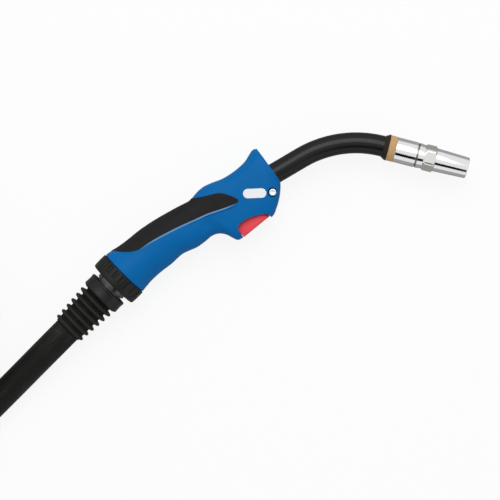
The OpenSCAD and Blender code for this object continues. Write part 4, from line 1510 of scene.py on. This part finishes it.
@dataclass
class Handle:
    """The two moulded shells with their soft inlays, the name plate and the closing screw."""

    wall: float = 2.4
    inlay_depth: float = 1.2
    inlay_proud: float = 0.3
    inlay_end: int = 6
    rim: tuple[float, float, float] = (27.0, 0.0, 1.5)
    edge_corners: tuple[int, int] = (4, 16)
    strip_ends: tuple = ((12, 0.03), (8, 0.05))
    outline_steps: int = 5
    rim_proud: float = 0.22
    rim_depth: float = 0.8
    groove: tuple[float, float, float] = (68.0, 1.8, 2.7)
    groove_depth: float = 0.9
    steps: int = 7
    around: int = 52
    seam: float = 0.06
    screw_at: Pair = (148.5, -43.0)
    screw_face: float = 12.6
    plate_at: Pair = (136.5, -32.5)
    plate_size: Pair = (20.8, 8.4)
    plate_turn: float = -42.7
    plate_span: Pair = (2.0, 40.0)
    plate_proud: float = 0.2
    plate_depth: float = 0.6
    crease_at: Pair = (95.0, -18.0)
    crease_lean: float = 0.055
    crease_slope: float = 0.24
    crease_deep: float = 1.5
    crease_fade: Pair = (7.0, 17.0)
    crease_top: Pair = (16.0, 22.0)
    rear_round: float = 1.8
    rear_round_step: float = 0.7
    rear_bore: Pair = (10.7, 20.5)
    neck_bore: Pair = (-35.0, 30.0)
    neck_bore_r: float = 9.55
    sink_r: float = 4.3
    sink_high: float = 30.0
    screw_l: float = 22.0
    shank_r: float = 2.0
    head_r: float = 3.6
    head_l: float = 2.4
    reach: float = 60.0
    side_block: tuple = ((-80, -120), (260, -120), (260, 80), (-80, 80))
    hollow_leave: int = 4
    strip_leave: int = 2
    sections: list = field(default_factory=lambda: [
        (2.5, 23.5, 2.5, -23.3, 23.4, 2), (9, 22.3, 9, -22.6, 22.0, 2),
        (16, 20.6, 17, -22.1, 20.2, 2), (26, 19, 28, -22.7, 18.6, 2.1),
        (38, 17.8, 39, -24.2, 17.8, 2.2), (50, 15.7, 51, -24.7, 17.6, 2.3),
        (60, 13.4, 58, -26.8, 17.6, 2.4), (69, 10.9, 66, -29.9, 17.3, 2.6),
        (78, 8.3, 75, -31.4, 17.0, 2.8), (85, 6, 82, -32, 16.8, 3), (90, 4.5, 87, -34, 16.5, 3.2),
        (94, 4.6, 90.5, -37.2, 16.3, 3.3), (98, 5, 93, -41.5, 16.2, 3.4),
        (102, 5.2, 94.6, -47, 16.2, 3.5), (106, 4.9, 96.6, -51.3, 16.3, 3.6),
        (110, 4.1, 101, -52.8, 16.5, 3.6), (117, 1.4, 112, -54, 16.5, 3.6),
        (125, -2.2, 124, -55.8, 16.5, 3.6), (134, -4.5, 134, -58.2, 16.5, 3.5),
        (143, -5.7, 142, -55.2, 16.3, 3.3), (151, -5.7, 149, -51.3, 15.9, 3),
        (157.5, -4.2, 154.5, -47.2, 15.2, 2.8), (163, -3.3, 158.5, -43.5, 14.4, 2.6),
        (166.3, -5, 160.5, -41.2, 13.5, 2.5)])
    inlay_outline: list = field(default_factory=lambda: [
        (9.5, 26), (11.3, 21), (15, 15.4), (19.6, 10.6), (24.6, 6.8), (30, 4.4), (38, 3.1),
        (46, 1.2), (54, -1.2), (64, -4.4), (74, -8), (84, -11.8), (94, -15.5), (104, -20.5),
        (112, -24.4), (119.8, -27.6), (121.9, -25.8), (120.8, -21.5), (117, -13.6), (113, -8.8),
        (106, -4.4), (99, 0.2), (93.4, 5), (92, 12), (60, 30)])
    arch: list = field(default_factory=lambda: [
        (101.4, -64), (101.7, -53), (102.7, -46.4), (104.7, -43.3), (108, -42.3), (113, -42.9),
        (119, -45), (125, -48.2), (130.4, -52.4), (132.4, -55.6), (132.4, -64)])

    def ring(self, s: Vector, inset: float) -> list[Vector]:
        """Return one section of the handle, shrunk by an inset.

        Args:
            s: The section's numbers.
            inset: How far inside the handle's face it lies.

        Returns:
            The section's points.
        """
        top, bottom = Vector((s[0], s[1])), Vector((s[2], s[3]))
        centre, span = (top + bottom) / 2, (top - bottom)
        up, half, width = span.normalized(), span.length / 2 - inset, s[4] - inset
        points = []
        for k in range(2 * self.around):
            a = math.pi * (k + 0.5) / self.around
            c, q = math.cos(a), math.sin(a)
            along = -math.copysign(half * abs(c) ** (2 / s[5]), c)
            x, y = centre.x + along * up.x, centre.y + along * up.y
            out = width * abs(q) ** (2 / s[5]) - self.relief(x, y) * abs(q)
            points.append(Vector((x, y, math.copysign(out, q))))
        return points

    def relief(self, x: float, y: float) -> float:
        """Find how far the side falls away behind the soft crease above the trigger.

        Args:
            x: A place along the handle.
            y: Its height across it.

        Returns:
            The fall.
        """
        top, low = self.crease_top
        behind = self.crease_at[0] - self.crease_lean * (y - self.crease_at[1]) - x
        if behind <= 0.0 or y > -top:
            return 0.0
        fall = min(behind * self.crease_slope, self.crease_deep)
        return fall * (1.0 - smooth_step(behind, *self.crease_fade)) * smooth_step(-y, top, low)

    def form(self, name: str, inset: float = 0.0, leave: int = 0) -> Object:
        """Make the handle's outer form, shrunk by an inset, without its last sections.

        Args:
            name: The form's name.
            inset: How far inside the handle's face it lies.
            leave: How many sections at the front are left out.

        Returns:
            The solid form.
        """
        rows = smooth_run(self.sections, self.steps)
        rows = rows[:len(rows) - leave * self.steps]
        rings = []
        for i, row in enumerate(rows):
            drawn_in = self.rear_round * max(0.0, 1 - self.rear_round_step * i)
            rings.append(self.ring(row, inset + drawn_in))
        return Workshop.loft(name, rings, HANDLE)

    def half_box(self, side: int) -> Object:
        """Return a block that fills all that lies on one side of the shells' joint."""
        low, high = sorted((side * self.seam, side * self.reach))
        return Workshop.prism("side_block", self.side_block, low, high, HANDLE)

    def sink(self, made: Object, outline: Outline, depth: float, leave: int) -> None:
        """Sink an outline into both sides of the handle.

        Args:
            made: The piece that is cut.
            outline: The outline.
            depth: How deep it goes.
            leave: How many sections at the front are left out.
        """
        tool = Workshop.prism("sink", outline, -self.reach, self.reach, HANDLE)
        Workshop.carve(tool, self.form("sink_floor", depth, leave))
        Workshop.carve(made, tool)

    def skin(self, name: str, outline: Outline, span: Sequence[float], proud: float,
             depth: float, leave: int = 0) -> Object:
        """Build a thin piece that follows the handle's face.

        Args:
            name: The piece's name.
            outline: Its outline.
            span: The heights that it lies between.
            proud: How far it stands out of the face.
            depth: How far it reaches into it.
            leave: How many sections at the front are left out.

        Returns:
            The piece.
        """
        made = Workshop.prism(name, outline, *span, HANDLE)
        Workshop.carve(made, self.form("skin_face", -proud, leave), "INTERSECT")
        return Workshop.carve(made, self.form("skin_back", depth, leave))

    def build(self) -> None:
        """Build the shells, their inlays and all that sits on them."""
        outer = self.form("handle_outer")
        for side, label in ((1, "right"), (-1, "left")):
            self.shell(side, label, outer)
            self.inlay(side, label)
        bpy.data.objects.remove(outer)
        self.plate()
        self.screw()

    def shell(self, side: int, label: str, outer: Object) -> None:
        """Build one shell.

        Args:
            side: 1 for the right shell and -1 for the left one.
            label: The side's name.
            outer: The handle's outer form.
        """
        made = Workshop.stand(f"handle_shell_{label}_body", outer.data.copy())
        Workshop.carve(made, self.form("hollow", self.wall, self.hollow_leave))
        self.sink(made, self.smooth_inlay(), self.inlay_depth, self.inlay_end)
        self.sink(made, self.strip(*self.groove), self.groove_depth, self.strip_leave)
        arch = Workshop.prism("arch", self.smooth_arch(), -self.reach, self.reach, HANDLE)
        Workshop.carve(made, arch)
        (end, r), (near, far), neck_r = self.rear_bore, self.neck_bore, self.neck_bore_r
        for profile, place in (([(-1.0, r), (end, r), (end, 0), (-1.0, 0)], HANDLE),
                               ([(near, 0), (near, neck_r), (far, neck_r), (far, 0)], NECK)):
            Workshop.carve(made, Workshop.turned("bore", profile, place))
        Workshop.carve(made, self.half_box(side), "INTERSECT")
        if side > 0:
            Workshop.carve(made, self.screw_hole())
        dress(made, BLUE, Body.TORCH, f"handle_shell_{label}")

    def smooth_inlay(self) -> Outline:
        """Return the inlay's outline as a smooth curve."""
        return [(p.x, p.y) for p in smooth_run(self.inlay_outline, self.outline_steps, True)]

    def smooth_arch(self) -> Outline:
        """Return the arched opening's outline as a smooth curve."""
        curve = smooth_run(self.arch[1:-1], 4)
        return [self.arch[0]] + [(p.x, p.y) for p in curve] + [self.arch[-1]]

    def screw_hole(self) -> Object:
        """Make the tool that sinks the screw's recess.

        Returns:
            The tool, in its place.
        """
        low, high, r = self.screw_face - self.head_l, self.sink_high, self.sink_r
        tool = Workshop.turned("screw_sink", [(low, 0), (low, r), (high, r), (high, 0)], OWN, 48)
        return placed(tool, self.screw_place())

    def screw_place(self) -> Matrix:
        """Return where the screw's own frame stands."""
        return HANDLE @ shift(*self.screw_at) @ turn_about("Y", -90)

    def inlay(self, side: int, label: str) -> None:
        """Build one soft inlay and the rim below it, coloured light blue as a painted highlight
        along its ridge.

        Args:
            side: 1 for the right inlay and -1 for the left one.
            label: The side's name.
        """
        span = sorted((0.0, side * self.reach))
        pad = self.skin(f"grip_inlay_{label}_pad", self.smooth_inlay(), span, self.inlay_proud,
                        self.inlay_depth, self.inlay_end)
        dress(pad, INLAY, Body.TORCH, f"grip_inlay_{label}")
        rim = self.skin(f"grip_rim_{label}", self.strip(*self.rim), span, self.rim_proud,
                        self.rim_depth, self.strip_leave)
        dress(rim, RIM_HIGHLIGHT_BLUE, Body.TORCH)

    def strip(self, start: float, near: float, far: float) -> Outline:
        """Draw a strip that follows the inlay's lower edge and narrows at both ends.

        Args:
            start: Where it starts along X.
            near: How far below the edge its upper side lies.
            far: How far below the edge its lower side lies.

        Returns:
            The strip's outline.
        """
        corners = self.inlay_outline[slice(*self.edge_corners)]
        edge = [p for p in smooth_run(corners, self.outline_steps) if p.x > start]
        (grow, first), (shrink, last) = self.strip_ends
        upper, lower = [], []
        for i, p in enumerate(edge):
            ahead = heading(edge, i)
            down = Vector((ahead.y, -ahead.x))
            narrow = min(1.0, i / grow + first, (len(edge) - 1 - i) / shrink + last)
            width = (far - near) * narrow
            upper.append(tuple(p + down * near))
            lower.append(tuple(p + down * (near + width)))
        return upper + lower[::-1]

    def plate(self) -> None:
        """Build the bare plate beside the screw."""
        length, width = self.plate_size
        half, r = length / 2 - width / 2, width / 2
        outline = (arc_points(r, -90, 90, 24, (half, 0.0))
                   + arc_points(r, 90, 270, 24, (-half, 0.0)))
        lean, (x0, y0) = math.radians(self.plate_turn), self.plate_at
        c, q = math.cos(lean), math.sin(lean)
        laid = [(x0 + x * c - y * q, y0 + x * q + y * c) for x, y in outline]
        made = self.skin("bare_plate", laid, self.plate_span, self.plate_proud,
                         self.plate_depth)
        dress(made, LABEL_WHITE, Body.TORCH)

    def screw(self) -> None:
        """Build the closing screw with its six-lobed socket."""
        top, shank_r, head_r = self.screw_face, self.shank_r, self.head_r
        end, low = top - self.screw_l, top - self.head_l
        corners = [(end, 0, 0), (end, shank_r, 0.3), (low, shank_r, 0), (low, head_r, 0.3),
                   (top - 0.5, head_r, 0.6), (top, 2.9, 0.4), (top, 1.9, 0.15),
                   (top - 1.3, 1.8, 0), (top - 1.5, 0, 0)]
        made = Workshop.turned("shell_screw_head", arc_corners(corners, 4), OWN, AROUND,
                               lobed(top - 1.4, 2.2))
        dress(placed(made, self.screw_place()), SCREW_STEEL, Body.TORCH, "shell_screw")


# ---------------------------------------------------------------- trigger


@dataclass
class TriggerUnit:
    """The trigger, its pin and spring, and the switch that it works."""

    width: float = 20.0
    ear_width: float = 12.0
    ear_x: float = 129.5
    edge: float = 3.2
    face_line: tuple[Pair, ...] = ((62.1, -49.35), (162.1, -59.35))
    eased: float = 0.5
    hinge: Pair = (134.5, -51.6)
    pin_hole_r: float = 1.55
    web_half: float = 5.0
    web: tuple = ((100.3, -49.5), (103.5, -50.5), (103.5, -44), (100.6, -44))
    well: tuple = ((116, -51), (128, -51), (128, -30), (116, -30))
    well_half: float = 6.2
    spring_x: float = 107.0
    spring_ends: Pair = (-46.5, -31.5)
    spring_r: float = 2.2
    spring_wire: float = 0.7
    spring_turns: float = 6.0
    spring_keep: float = 0.79
    seat_r: float = 3.05
    seat_mouth: tuple[Pair, Pair] = ((-40.0, 3.8), (-30.0, 3.8))
    outline: list = field(default_factory=lambda: [
        (102.1, -53.3, 0.8), (132.05, -56.3, 0.4), (131.7, -54.2, 0.3), (137, -53.9, 1.6),
        (137, -49.2, 1.8), (131, -48.6, 2.0), (125.5, -45.2, 2.0), (119, -42.3, 1.5),
        (115.4, -40.6, 0.8), (110.6, -40.6, 0.2), (109.6, -40, 0.2), (103.9, -39.2, 1.2),
        (102.9, -45, 1.0)])

    def build(self) -> None:
        """Build the trigger and dress the pieces behind it."""
        half = self.width / 2
        made = Workshop.prism("trigger_lever", arc_corners(self.outline, 4), -half, half, HANDLE)
        rows = []
        for x, low in self.face_line:
            section = arc_corners([(low, -half, self.edge), (low, half, self.edge), (0, half, 0),
                                   (0, -half, 0)], 8)
            rows.append([Vector((x, y, z)) for y, z in section])
        Workshop.carve(made, Workshop.loft("trigger_section", rows, HANDLE), "INTERSECT")
        x = self.ear_x
        beside = [(x, -90), (x + 30, -90), (x + 30, 0), (x, 0)]
        for side in (-1, 1):
            low, high = sorted((side * self.ear_width / 2, side * self.width))
            Workshop.carve(made, Workshop.prism("ear_cut", beside, low, high, HANDLE))
        self.hollows(made)
        Workshop.ease(made, self.eased)
        web = Workshop.prism("web", self.web, -self.web_half, self.web_half, HANDLE)
        Workshop.carve(made, web, "UNION")
        dress(made, CORAL, Body.TRIGGER, "trigger")
        refinish("trigger_pin", STEEL)
        self.spring()
        refinish("microswitch", SWITCH_BLACK)
        refinish("switch_plunger", CARRIER_RED)
        refinish("switch_leads", LEAD_YELLOW)

    def spring(self) -> None:
        """Wind the return spring, which shortens as the trigger goes in."""
        wire_r = self.spring_wire / 2
        low, high = self.spring_ends
        plan = wire_coil("return_spring", STEEL, self.spring_turns, self.spring_r - wire_r,
                         wire_r, high - low - self.spring_wire)
        made = plan.use(Workshop.piece("trigger_return_spring", [], [], OWN), 60.0)
        placed(made, HANDLE @ shift(self.spring_x, low + wire_r) @ turn_about("X", -90))
        dress(made, STEEL, Body.TORCH, "trigger_spring")
        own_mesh(made)

    def hollows(self, made: Object) -> None:
        """Cut the pin's hole, the spring's seat and the hollow behind the finger face.

        Args:
            made: The trigger.
        """
        circle = arc_points(self.pin_hole_r, 0, 348, 29, self.hinge)
        Workshop.carve(made, Workshop.prism("pin_hole", circle, -20, 20, HANDLE))
        well = Workshop.prism("well", self.well, -self.well_half, self.well_half, HANDLE)
        Workshop.carve(made, well)
        low, mouth = self.spring_ends[0], self.seat_mouth
        profile = [(low, 0), (low, self.seat_r), *mouth, (mouth[1][0], 0)]
        seat = Workshop.turned("spring_seat", profile, OWN, 36)
        Workshop.carve(made, placed(seat, HANDLE @ shift(self.spring_x) @ turn_about("Z", 90)))


# ---------------------------------------------------------------- neck and nozzle


@dataclass
class Neck:
    """The bent neck: its outer sleeve, the flared collar and what runs inside."""

    radius: float = 9.5
    inner_r: float = 7.0
    around: int = 72
    bend_steps: int = 40
    nose: float = 4.8
    collar_r: float = 12.0
    socket_in: float = 34.0

    def axis_points(self) -> list[Vector]:
        """Find the neck's axis in the frame of its bend.

        Returns:
            Points along it, from the handle to the collar.
        """
        starts = (-NECK_STRAIGHT - self.socket_in, -NECK_STRAIGHT, -12.0)
        first = [Vector((x, NECK_RADIUS, 0.0)) for x in starts]
        steps = self.bend_steps
        bends = [math.radians(NECK_BEND * k / steps) for k in range(steps + 1)]
        arc = [Vector((NECK_RADIUS * math.sin(a), NECK_RADIUS * math.cos(a), 0.0)) for a in bends]
        last = turn_about("Z", -NECK_BEND) @ Vector((self.nose, NECK_RADIUS, 0.0))
        return first + arc + [last]

    def build(self) -> None:
        """Build the sleeve and the collar, and dress the rest."""
        path = self.axis_points()
        outer, inner = ([hoop(here, UP.cross(heading(path, i)), UP, r, self.around)
                         for i, here in enumerate(path)] for r in (self.radius, self.inner_r))
        rows = outer + inner[::-1]
        made = Workshop.piece("neck_sleeve_tube", *Workshop.grid(rows, True, False), BEND)
        dress(made, SLEEVE_BLACK, Body.TORCH, "neck_sleeve")
        bore, rim = self.radius + 0.05, self.collar_r
        corners = [(0.6, bore, 0), (0.6, bore + 0.45, 0.2), (3.4, rim - 0.5, 1.0), (4.0, rim, 0.3),
                   (self.nose, rim, 0.3), (self.nose, bore, 0)]
        collar = Workshop.turned("neck_collar_ring", arc_corners(corners, 4), NOSE)
        dress(collar, COLLAR_BLACK, Body.TORCH, "neck_collar")
        refinish("neck_conductor", COPPER)
        refinish("wire_liner", STEEL)
        refinish("neck_socket", SWITCH_BLACK)
        refinish("power_fitting", BRASS)
        refinish("cable_core_front", CORE_GREY)


@dataclass
class Nozzle:
    """The plated gas nozzle, the insulator behind it, and the tip inside."""

    rear: float = 4.8
    insulator_l: float = 6.5
    insulator_r: float = 11.6
    length: float = 67.0
    around: int = 128
    spigot_r: float = 9.35
    spigot_l: float = 9.0
    sleeve_r: float = 7.05
    lip_l: float = 5.0
    seat_l: float = 10.0
    rear_r: float = 11.4
    groove: Pair = (19.2, 20.9)
    groove_depth: float = 0.7
    wrench: Pair = (26.0, 37.0)
    wrench_half: float = 10.9
    wrench_steps: int = 22
    wrench_around: int = 192
    wrench_sharp: float = 20.0
    turned_r: float = 12.0
    ramps: Pair = (2.0, 1.2)
    least: float = 0.02
    waist_r: float = 10.6
    mouth_r: float = 9.5
    mouth_bore: float = 8.0
    inner_bore: float = 8.6
    seat_bore: float = 9.4

    def build(self) -> None:
        """Build the insulator and the nozzle, and dress the tip."""
        self.insulator()
        self.barrel()
        self.collar()
        refinish("tip_holder", BRASS)
        refinish("contact_tip", COPPER)

    def insulator(self) -> None:
        """Turn the insulator ring."""
        front = self.rear + self.insulator_l
        r, spigot_r, bore = self.insulator_r, self.spigot_r, self.sleeve_r
        end = front + self.spigot_l
        corners = [(self.rear, bore, 0), (self.rear, r, 0.4), (front, r, 0.5), (front, spigot_r, 0),
                   (end, spigot_r, 0.4), (end, bore, 0)]
        made = Workshop.turned("insulator_ring", arc_corners(corners, 4), NOSE)
        dress(made, TAN, Body.TORCH, "nozzle_insulator")

    def barrel(self) -> None:
        """Turn the nozzle's barrel with its groove, waist and rounded lip."""
        r, (g0, g1), (w0, w1), end = self.rear_r, self.groove, self.wrench, self.length
        floor_r, lip, shoulder = r - self.groove_depth, end - self.lip_l, self.seat_l
        corners = [(0, self.seat_bore, 0.1), (0, r, 0.5), (g0, r, 0.12), (g0, floor_r, 0.1),
                   (g1, floor_r, 0.1), (g1, r, 0.12), (w0, self.waist_r + 0.2, 0),
                   (w1, self.waist_r, 0), (end, self.mouth_r, 0.8), (end, self.mouth_bore, 0.3),
                   (lip, self.mouth_bore, 0), (lip, self.inner_bore, 0),
                   (shoulder, self.inner_bore, 0), (shoulder, self.seat_bore, 0)]
        made = Workshop.turned("gas_nozzle_barrel", arc_corners(corners, 4), self.place(),
                               self.around)
        dress(made, CHROME, Body.TORCH, "gas_nozzle")
        # A dark band lines the groove's floor as painted shade in the groove
        near, far, low, high = g0 + 0.1, g1 - 0.1, floor_r - 0.3, floor_r + 0.18
        band = [(near, low), (near, high), (far, high), (far, low)]
        dress(Workshop.turned("gas_nozzle_groove_shade_band", band, self.place()), GROOVE_SHADE_GREY, Body.TORCH)

    def place(self) -> Matrix:
        """Return where the nozzle's own frame stands."""
        return NOSE @ shift(self.rear + self.insulator_l)

    def collar(self) -> None:
        """Build the hexagonal wrench collar with its turned-off corners."""
        w0, w1 = self.wrench
        steps = self.wrench_steps
        xs = [w0 + (w1 - w0) * k / steps for k in range(steps + 1)]

        def turned_to(x: float) -> float:
            """Find the radius that the corners are turned down to.

            Args:
                x: The place along X.

            Returns:
                The radius.
            """
            near, far = (x - w0) / self.ramps[0], (w1 - x) / self.ramps[1]
            room = self.turned_r - self.waist_r
            return self.waist_r + room * max(self.least, min(1.0, near, far))

        def hexagon(x: float, r: float, angle: float) -> float:
            """Find the collar's radius.

            Args:
                x: The place along X.
                r: The profile's radius there.
                angle: The angle round X.

            Returns:
                The radius.
            """
            if r < self.inner_bore + 0.5:
                return r
            flat = self.wrench_half / math.cos((angle % (math.pi / 3)) - math.pi / 6)
            return min(flat, turned_to(x))

        inside = self.inner_bore + 0.4
        profile = [(x, self.turned_r) for x in xs] + [(w1, inside), (w0, inside)]
        made = Workshop.turned("gas_nozzle_wrench_collar", profile, self.place(),
                               self.wrench_around, hexagon, self.wrench_sharp)
        dress(made, FLAT_CHROME, Body.TORCH)


# ---------------------------------------------------------------- connector


@dataclass
class Connector:
    """The central connector at the cable's far end."""

    boot_l: float = 40.0
    boot_bore: float = 12.6
    valley_r: float = 14.5
    ribs: RibSet = RibSet("connector_boot_ribs", 4, 22.5, 19.0, 15.5, 2.4, 1.0, 0.6)
    shell_r: float = 25.0
    shell_end: float = 100.0
    core_r: float = 9.7
    room_r: float = 22.0
    plug_r: float = 17.0
    plug_rear: float = 62.0
    flutes: int = 12
    flute_r: float = 4.5
    flute_out: float = 3.42
    union_r: float = 24.5
    union: Pair = (100.4, 126.4)
    union_bore: float = 20.0
    thread_pitch: float = 2.0
    thread_deep: float = 0.5
    screw_x: float = 86.0
    screw_top: float = 24.0
    screw_foot: float = 13.0
    shank_r: float = 1.5
    head_r: float = 2.68
    head_l: float = 1.6
    sink_deep: float = 1.7
    sink_r: float = 2.76

    def build(self) -> list[Object]:
        """Build the connector's outer pieces and dress the turned ones.

        Returns:
            The pieces, which sit on the cable.
        """
        made = [*self.boot(), self.shell(), self.screws(), self.union_nut()]
        finishes = {"plug_body": BRASS, "contact_carrier": CARRIER_RED, "inlet_tube": BRASS,
                    "inlet_o_ring": SEAL_BLACK, "control_pin_upper": GOLD,
                    "control_pin_lower": GOLD}
        return made + [refinish(node, finish) for node, finish in finishes.items()]

    def boot(self) -> list[Object]:
        """Build the rear boot: a tube that flares towards the shell, and its ribs.

        Returns:
            The tube and the ribs.
        """
        end, r, bore = self.boot_l, self.valley_r, self.boot_bore
        corners = [(0.0, bore, 0.2), (0.0, r, 0.5), (end - 14.0, r, 3.0), (end - 4.0, r + 3.4, 3.0),
                   (end, r + 3.6, 0.5), (end, bore, 0)]
        # The tube takes the darker rubber as painted shade between the ribs, and the ribs take the
        # lighter one as painted light
        tube = Workshop.turned("connector_boot_tube", arc_corners(corners), CONNECTOR)
        dress(tube, BOOT_VALLEY_SHADE, Body.CABLE, "connector_boot")
        return [tube, self.ribs.build(r, CONNECTOR)]

    def shell(self) -> Object:
        """Build the fluted shell with its two rings and its screw recesses.

        Returns:
            The shell.
        """
        start, end, r, room, plug = (self.boot_l, self.shell_end, self.shell_r, self.room_r,
                                     self.plug_r + 0.02)
        corners = [(start, self.core_r, 0), (start, r, 4.0)]
        for near, far in ((start + 6.0, start + 7.0), (end - 3.4, end - 2.6)):
            corners += [(near, r, 0.2), (near, r - 0.5, 0.2), (far, r - 0.5, 0.2), (far, r, 0.2)]
        corners += [(end, r, 0.6), (end, plug, 0), (self.plug_rear, plug, 0),
                    (self.plug_rear, room, 0), (start + 3.0, room, 0),
                    (start + 3.0, self.core_r, 0)]
        made = Workshop.turned("connector_shell_body", arc_corners(corners, 4), OWN, FINE_AROUND)
        self.flute(made, "shell_flutes", r, start + 9.0, end - start - 15.0, 0.5)
        low, high, sink_r = self.screw_top - self.sink_deep, self.screw_top + 8.0, self.sink_r
        for side in (90, -90):
            hole = [(low, 0), (low, sink_r), (high, sink_r), (high, 0)]
            tool = Workshop.turned("screw_sink", hole, OWN, 36)
            Workshop.carve(made, placed(tool, shift(self.screw_x) @ turn_about("Y", -side)))
        return dress(placed(made, CONNECTOR), NUT_BLACK, Body.CABLE, "connector_shell")

    def flute(self, made: Object, name: str, r: float, start: float, length: float,
              first: float) -> None:
        """Cut the finger flutes into a turned blank.

        Args:
            made: The blank.
            name: The name of the tree that cuts them.
            r: The blank's radius.
            start: Where they start along X.
            length: How long they are.
            first: The place of the first one, in flutes.
        """
        notch_ring(name, NUT_BLACK, self.flutes, self.flute_r, r + self.flute_out, start, length,
                   first).use(made)

    def screws(self) -> Object:
        """Build the two grub screws with their six-lobed sockets.

        Returns:
            The screws, as one piece.
        """
        foot, top, shank_r, head_r = self.screw_foot, self.screw_top, self.shank_r, self.head_r
        low = top - self.head_l
        corners = [(foot, 0, 0), (foot, shank_r, 0.2), (low, shank_r, 0), (low, head_r, 0.2),
                   (top, head_r, 0.4), (top, 1.35, 0.1), (top - 1.0, 1.3, 0), (top - 1.1, 0, 0)]
        pair = []
        for side in (90, -90):
            one = Workshop.turned("grub_screw", arc_corners(corners, 3), OWN, 72,
                                  lobed(top - 1.05, 1.6))
            pair.append(placed(one, CONNECTOR @ shift(self.screw_x) @ turn_about("Y", -side)))
        both = Workshop.merged("connector_screw_pair", pair)
        return dress(both, SCREW_STEEL, Body.CABLE, "connector_screws")

    def union_nut(self) -> Object:
        """Build the fluted union nut with the thread in its bore.

        Returns:
            The nut.
        """
        (rear, front), r, bore = self.union, self.union_r, self.union_bore
        root, plug, quarter = bore + self.thread_deep, self.plug_r + 0.1, self.thread_pitch / 4
        thread = []
        turns = int((front - rear - 8.0) / self.thread_pitch)
        for k in range(turns):
            x = front - 1.6 - k * self.thread_pitch
            thread += [(x, root, 0), (x - quarter, bore, 0), (x - 2 * quarter, bore, 0),
                       (x - 3 * quarter, root, 0)]
        corners = [(rear, plug, 0.2), (rear, r, 2.0), (front, r, 1.2), (front, bore + 0.9, 0.3),
                   *thread, (rear + 5.0, root, 0), (rear + 5.0, plug, 0.2)]
        made = Workshop.turned("union_nut_body", arc_corners(corners, 4), OWN, FINE_AROUND)
        self.flute(made, "union_flutes", r, rear + 4.0, front - rear, 0.0)
        return dress(placed(made, CONNECTOR), NUT_BLACK, Body.UNION, "union_nut")


def main() -> None:
    """Build the studio and the torch, piece by piece."""
    logging.basicConfig(level=logging.INFO, format="%(message)s")
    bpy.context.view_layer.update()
    Studio().build()
    cable = Cable()
    on_cable = Connector().build() + [cable.straps()]
    cable.build(on_cable)
    BallJoint().build()
    Handle().build()
    TriggerUnit().build()
    Neck().build()
    Nozzle().build()


if __name__ == "__main__":
    main()
